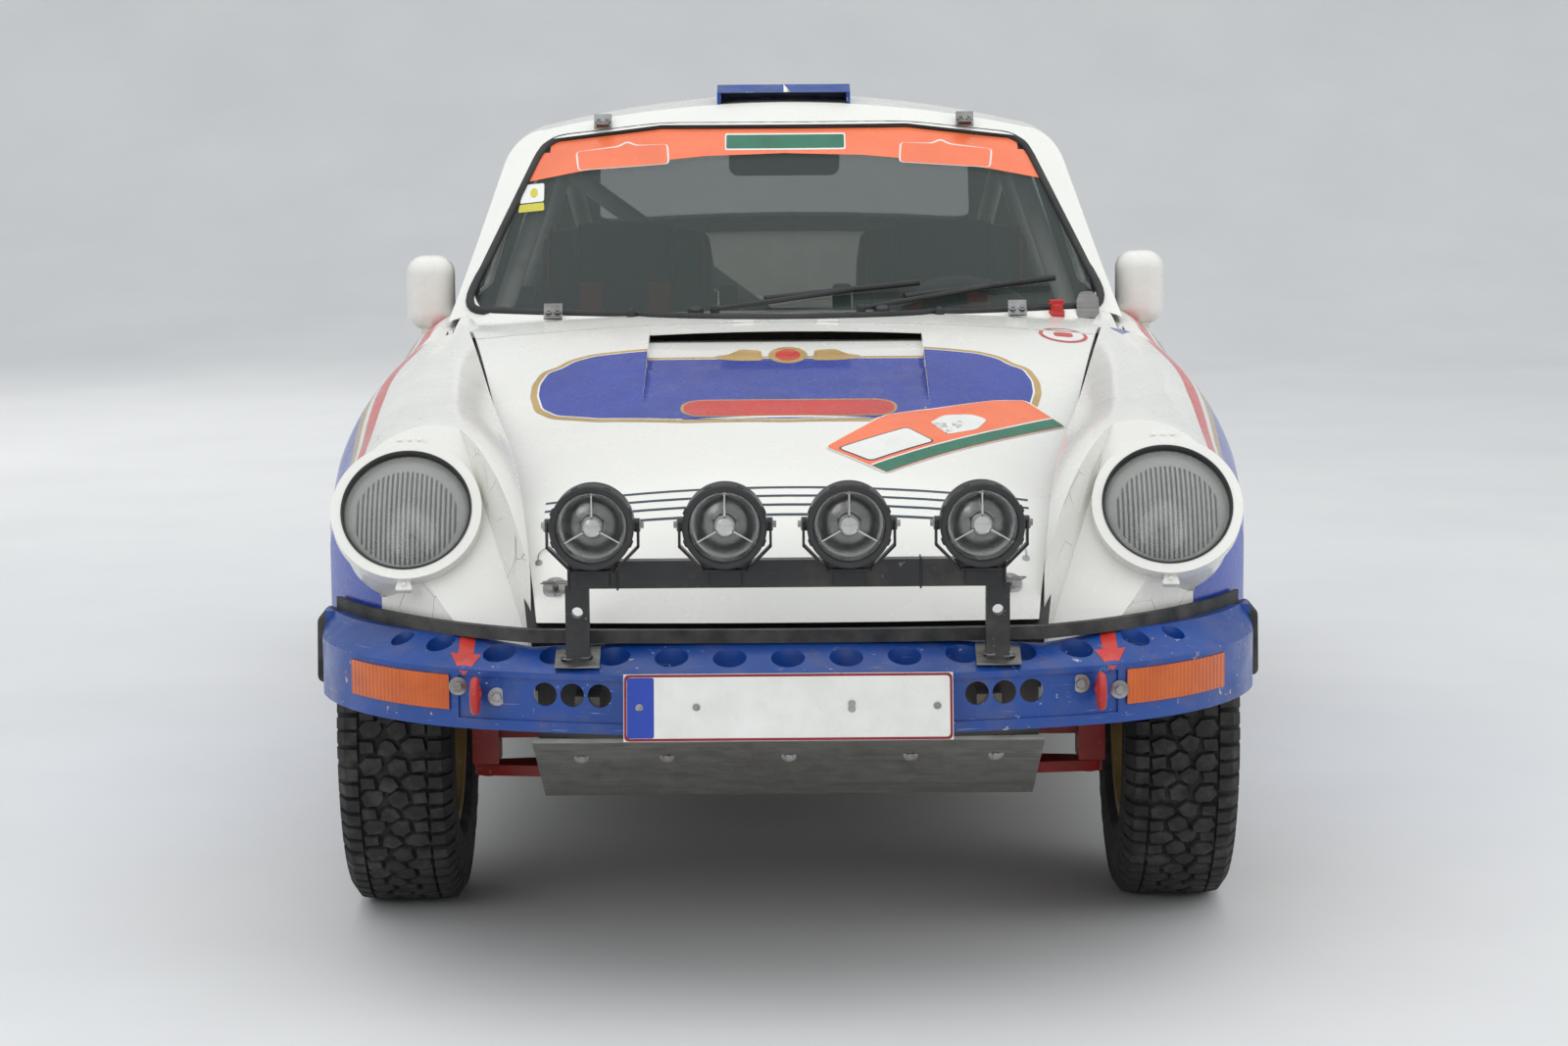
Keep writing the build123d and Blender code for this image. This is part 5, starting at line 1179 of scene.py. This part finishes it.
sheet = [(-0.022, 0), (0.022, 0), (0.022, 0.048), (0.010, 0.064), (-0.014, 0.062), (-0.022, 0.042)]
p = cast(0.591, -0.680, "top", ["front_fender_left", "cowl", "roof"], 0.0)
tab.slab(rounded(sheet, 0.006, 3), 0.0, 0.0025, (1, 0, 0), (0, 0.64, 0.77), (0, -0.77, 0.64), p, 0.0006)
tab.make("grey_tab", shaded_alloy)
for x in (-0.172, 0.185):
    p = cast(x, -0.790, "top", ["cowl", "wipers"], 0.0)
    nuts.lathe([(0, 0.016), (0.008, 0.016), (0.015, 0.012), (0.018, 0.0)], p, (0, -0.35, 1), 24)
nuts.make("wiper_nuts", plastic)

ties = Shape()
for x in (-0.348, -0.270, 0.212, 0.345):
    loop = [(x, at(0.074), 0.695), (x, at(0.106), 0.695), (x, at(0.106), 0.743), (x, at(0.074), 0.743)]
    ties.tube(dense(loop, 0.008), 0.0016, 6, loop=True)
ties.make("cable_ties", plastic)

# Rubber bellows behind the bumper ends: six folds round a core
corners = Shape()
for k in range(6):
    s = 0.476 + k * 0.018
    fold = rounded([(0.745, 0.474), (0.802 - 0.001 * k, 0.478), (0.800, 0.592), (0.745, 0.600)], 0.012, 4)
    corners.slab(fold, at(s), at(s + 0.0125), edge=0.003)
core = rounded([(0.748, 0.480), (0.790, 0.484), (0.788, 0.586), (0.748, 0.592)], 0.010, 4)
corners.slab(core, at(0.470), at(0.585))
corners.mirror().make("bumper_corner_bellows", rubber)


# Seals round the glass, and the lips of the wheel arches
def seal(name, outline, view, on, r, body="chassis", out=0.006):
    """A round rubber laid on the nodes, outside the outline by out."""
    points = [cast(a, b, view, on, 0.0005) for a, b in dense(grown(outline, out), 0.03)]
    s = Shape()
    s.tube([p for p in points if p is not None], r, 8, loop=True)
    s.make(name, seal_rubber, body, 80)


screen_line = rounded([
    (-0.640, 1.024), (0.640, 1.024), (0.497, 1.346), (0.250, 1.376), (-0.250, 1.376), (-0.497, 1.346),
], 0.046, 6)
door_line = rounded([
    (front_y(790), 1.019), (front_y(1456), 1.019), (front_y(1450), 1.294), (front_y(1277), 1.304),
    (front_y(1137), 1.288),
], 0.026, 5)
quarter_line = rounded([
    (front_y(1538), 1.023), (rear_y(-165), 1.023), (rear_y(-150), 1.063), (rear_y(-330), 1.215),
    (rear_y(-520), 1.278), (front_y(1534), 1.294),
], 0.020, 5)
back_line = rounded([
    (-0.425, rear_y(-330)), (0.425, rear_y(-330)), (0.455, rear_y(168)), (-0.455, rear_y(168)),
], 0.06, 6)
seal("screen_seal", screen_line, "front", ["windscreen", "roof", "cowl"], 0.009, out=-0.006)
for side, hand in SIDES:
    seal(f"door_glass_seal_{side}", door_line, side, [f"door_{side}"], 0.006, f"door_{side}")
    seal(f"quarter_glass_seal_{side}", quarter_line, side, ["roof", f"rear_quarter_{side}"], 0.007)
seal("rear_glass_seal", back_line, "top", ["roof"], 0.009, out=0.007)

# The arches' middle height, and how far the lips stay inside the widest place of the body
ARCH_Z, LIP_IN = 0.440, 0.0064
lips = Shape()
for axle, radius, node in ((FRONT, 0.372, "front_fender_left"), (REAR, 0.364, "rear_quarter_left")):
    line = []
    for k in range(41):
        a = radians(-14 + 208 * k / 40)
        ahead = cos(a) if 0 <= a <= pi else (1 if a < 0 else -1)
        p = cast(axle + radius * ahead, ARCH_Z + radius * sin(a), "left", [node], 0.0)
        if p is not None:
            line.append(p - Vector((LIP_IN, 0, 0)))
    lips.tube(line, 0.0065, 8)
lips.mirror().make("arch_lips", side_paint, angle=80)

# Mirrors
plate_form = panel(-0.027, -0.054, 0.027, 0.054, 0.018, 5)
for side, hand in SIDES:
    m = Shape()
    m.slab(plate_form, 0.0, 0.004, origin=(0.722 * hand, FRONT + 0.9165, 1.043), edge=0.0004)
    m.make(f"mirror_glass_{side}", chrome, f"door_{side}")
m = Shape()
plate_form = panel(-0.108, -0.024, 0.108, 0.024, 0.02, 5)
m.slab(plate_form, 0.0, 0.001, origin=(0, FRONT + 1.0992, 1.295), edge=0.0003)
m.make("inside_mirror_glass", chrome)

# Seats and harness
SEAT_X, CUSHION_HALF, BOLSTER_X, BOLSTER_HALF = 0.350, 0.198, 0.176, 0.026
RIDE_LIFT = 110


def pillow(name, outline, middle, half, bulge=0.006, round_by=0.014):
    """A stuffed form: a side outline that crowns in the middle and pulls in at both ends."""
    line = dense(rounded(outline, 0.04, 5), 0.03)
    s = Shape()
    rings = []
    steps = 14
    for i in range(steps + 1):
        t = -1 + 2 * i / steps
        pull = round_by * (1 - sqrt(max(0.0, 1 - abs(t) ** 5)))
        swell = bulge * (1 - t * t) ** 0.5 * (1.0 + 0.10 * cos(t * 9.4))
        rings.append([(middle + half * t, y, z) for y, z in grown(line, swell - pull)])
    s.rings(rings)
    ob = s.make(name, seat_cloth, subdivide=1)
    pipe = Shape()
    for t in (-0.86, 0.86):
        out = bulge * (1 - t * t) ** 0.5 - round_by * 0.12 + 0.001
        pipe.tube([(middle + half * t, y, z) for y, z in grown(line, out)], 0.0028, 6, loop=True)
    pipe.make(name + "_piping", belt_cloth if "back" in name else seal_rubber, angle=80)
    return ob


def fyz(points):
    """Places in y and z, from millimetres behind the front axle and above the floor of a car not raised."""
    return [(front_y(a), (h + RIDE_LIFT) / 1000) for a, h in points]


WING = rounded(fyz([(990, 214), (1470, 214), (1590, 880), (1500, 905), (1330, 520), (990, 470)]), 0.03, 4)
BASE = fyz([(958, 215), (1390, 215), (1440, 320), (1398, 366), (962, 396)])
BACK = fyz([(1400, 300), (1476, 300), (1612, 1000), (1548, 1030), (1486, 955), (1382, 402)])
BOLSTER = fyz([(985, 395), (1330, 375), (1352, 420), (1325, 470), (1000, 468)])
SIDE_PAD = fyz([(1335, 470), (1400, 440), (1500, 870), (1470, 890), (1400, 780)])
HEAD_REST = fyz([(1470, 905), (1500, 890), (1560, 1015), (1530, 1035), (1480, 985)])
shells = Shape()
for word, hand in SIDES:
    c = SEAT_X * hand
    for off in (-0.225, 0.225):
        shells.slab(WING, c + off - 0.020, c + off + 0.020, (0, 1, 0), (0, 0, 1), (1, 0, 0), edge=0.006)
    cushion = pillow(f"seat_base_{word}", BASE, c, CUSHION_HALF, round_by=0.022)
    pillow(f"seat_back_{word}", BACK, c, CUSHION_HALF, round_by=0.022)
    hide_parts("seats")
    for letter, off in (("a", -BOLSTER_X), ("b", BOLSTER_X)):
        pillow(f"seat_bolster_{word}_{letter}", BOLSTER, c + off, BOLSTER_HALF)
        pillow(f"seat_wing_{word}_{letter}", SIDE_PAD, c + off, BOLSTER_HALF)
    pillow(f"seat_head_{word}", HEAD_REST, c, 0.12, 0.010, 0.02)
shells.make("seat_shells", plastic)

belts, buckles = Shape(), Shape()
BELT_WIDE, BELT_THICK = 0.050, 0.003
shoulder = fyz([
    (1655, 782), (1600, 870), (1530, 925), (1462, 905), (1430, 800), (1404, 690), (1380, 580), (1352, 480),
    (1300, 440),
])
for hand in (1, -1):
    c = SEAT_X * hand
    for off in (-0.075, 0.075):
        # From the fifth point down, the two shoulder belts run together towards the buckle
        way = [(c + off * (1.0 - 0.22 * max(0, i - 4)), y, z) for i, (y, z) in enumerate(shoulder)]
        belts.strap(way, BELT_WIDE, BELT_THICK, (1, 0, 0))
        way = [
            (c + off * 0.4, FRONT + 1.290, 0.548), (c + off * 1.4, FRONT + 1.300, 0.545),
            (c + off * 2.3, FRONT + 1.335, 0.530), (c + off * 2.6, FRONT + 1.360, 0.500),
        ]
        belts.strap(way, BELT_WIDE, BELT_THICK, (0, 0.5, 0.85))
    disc = [(0, 0.032), (0.010, 0.032), (0.014, 0.027), (0.014, 0.0)]
    buckles.lathe(disc, (c, FRONT + 1.296, 0.552), (0, -0.45, 0.9), 28)
belts.make("harness_belts", belt_cloth)
buckles.make("harness_buckles", steel)

# Dark strips of seal rubber under the two side gaps of the hood, which follow its crease line: painted shade,
# dark sheets that stand in for the shade in the gaps
CREASE_FROM, CREASE_X, CREASE_SLOPE = -0.7630, 0.4040, 0.166819
GAP_FROM, GAP_LONG, GAP_STEPS = -0.7430, 1.0510, 27
gaps = Shape()
for hand in (1, -1):
    way = []
    for k in range(GAP_STEPS + 1):
        a = GAP_FROM + GAP_LONG * k / GAP_STEPS
        x = CREASE_X + (a - CREASE_FROM) * CREASE_SLOPE
        p = cast((x - 0.006) * hand, FRONT + a, "top", ["hood"], 0.0)
        if p:
            way.append(p + Vector((0.009 * hand, 0, -0.016)))
    gaps.strap(way, 0.024, 0.003, (1, 0, 0))
gaps.make("hood_gap_shade", seal_rubber)

# Dials and steering wheel
dials, faces = Shape(), Shape()
facing = Vector((0, 0.80, 0.30)).normalized()
for k, r in enumerate((0.040, 0.046, 0.058, 0.046, 0.040)):
    o = Vector((SEAT_X + (k - 2) * 0.112, FRONT + 0.664, 0.915))
    rim = [(-0.01, r + 0.004), (0.012, r + 0.004), (0.016, r), (0.013, r - 0.003), (0.004, r - 0.004)]
    dials.lathe(rim, o, facing, 36, ends=False)
    faces.lathe([(0.003, r - 0.003), (0.0035, 0.004), (0.006, 0.0)], o, facing, 28)
dials.make("dial_rims", steel)
faces.make("dial_faces", seal_rubber)

STEER_R = 0.175
tilt = Vector((0, 0.92718, 0.37461))
steer_up = tilt.cross(ACROSS)
mid = Vector((SEAT_X, FRONT + 0.830, 0.900))


def on_rim(a):
    return mid + (ACROSS * cos(a) + steer_up * sin(a)) * STEER_R


grip, mark = Shape(), Shape()
grip.tube([on_rim(a) for a in turns(64)], 0.0152, 10, loop=True)
grip.make("steering_grip", leather, "steering_wheel", 80)
mark.tube([on_rim(pi / 2 - 0.06 + 0.02 * k) for k in range(7)], 0.0158, 10)
mark.make("steering_top_mark", print_yellow, "steering_wheel", 80)
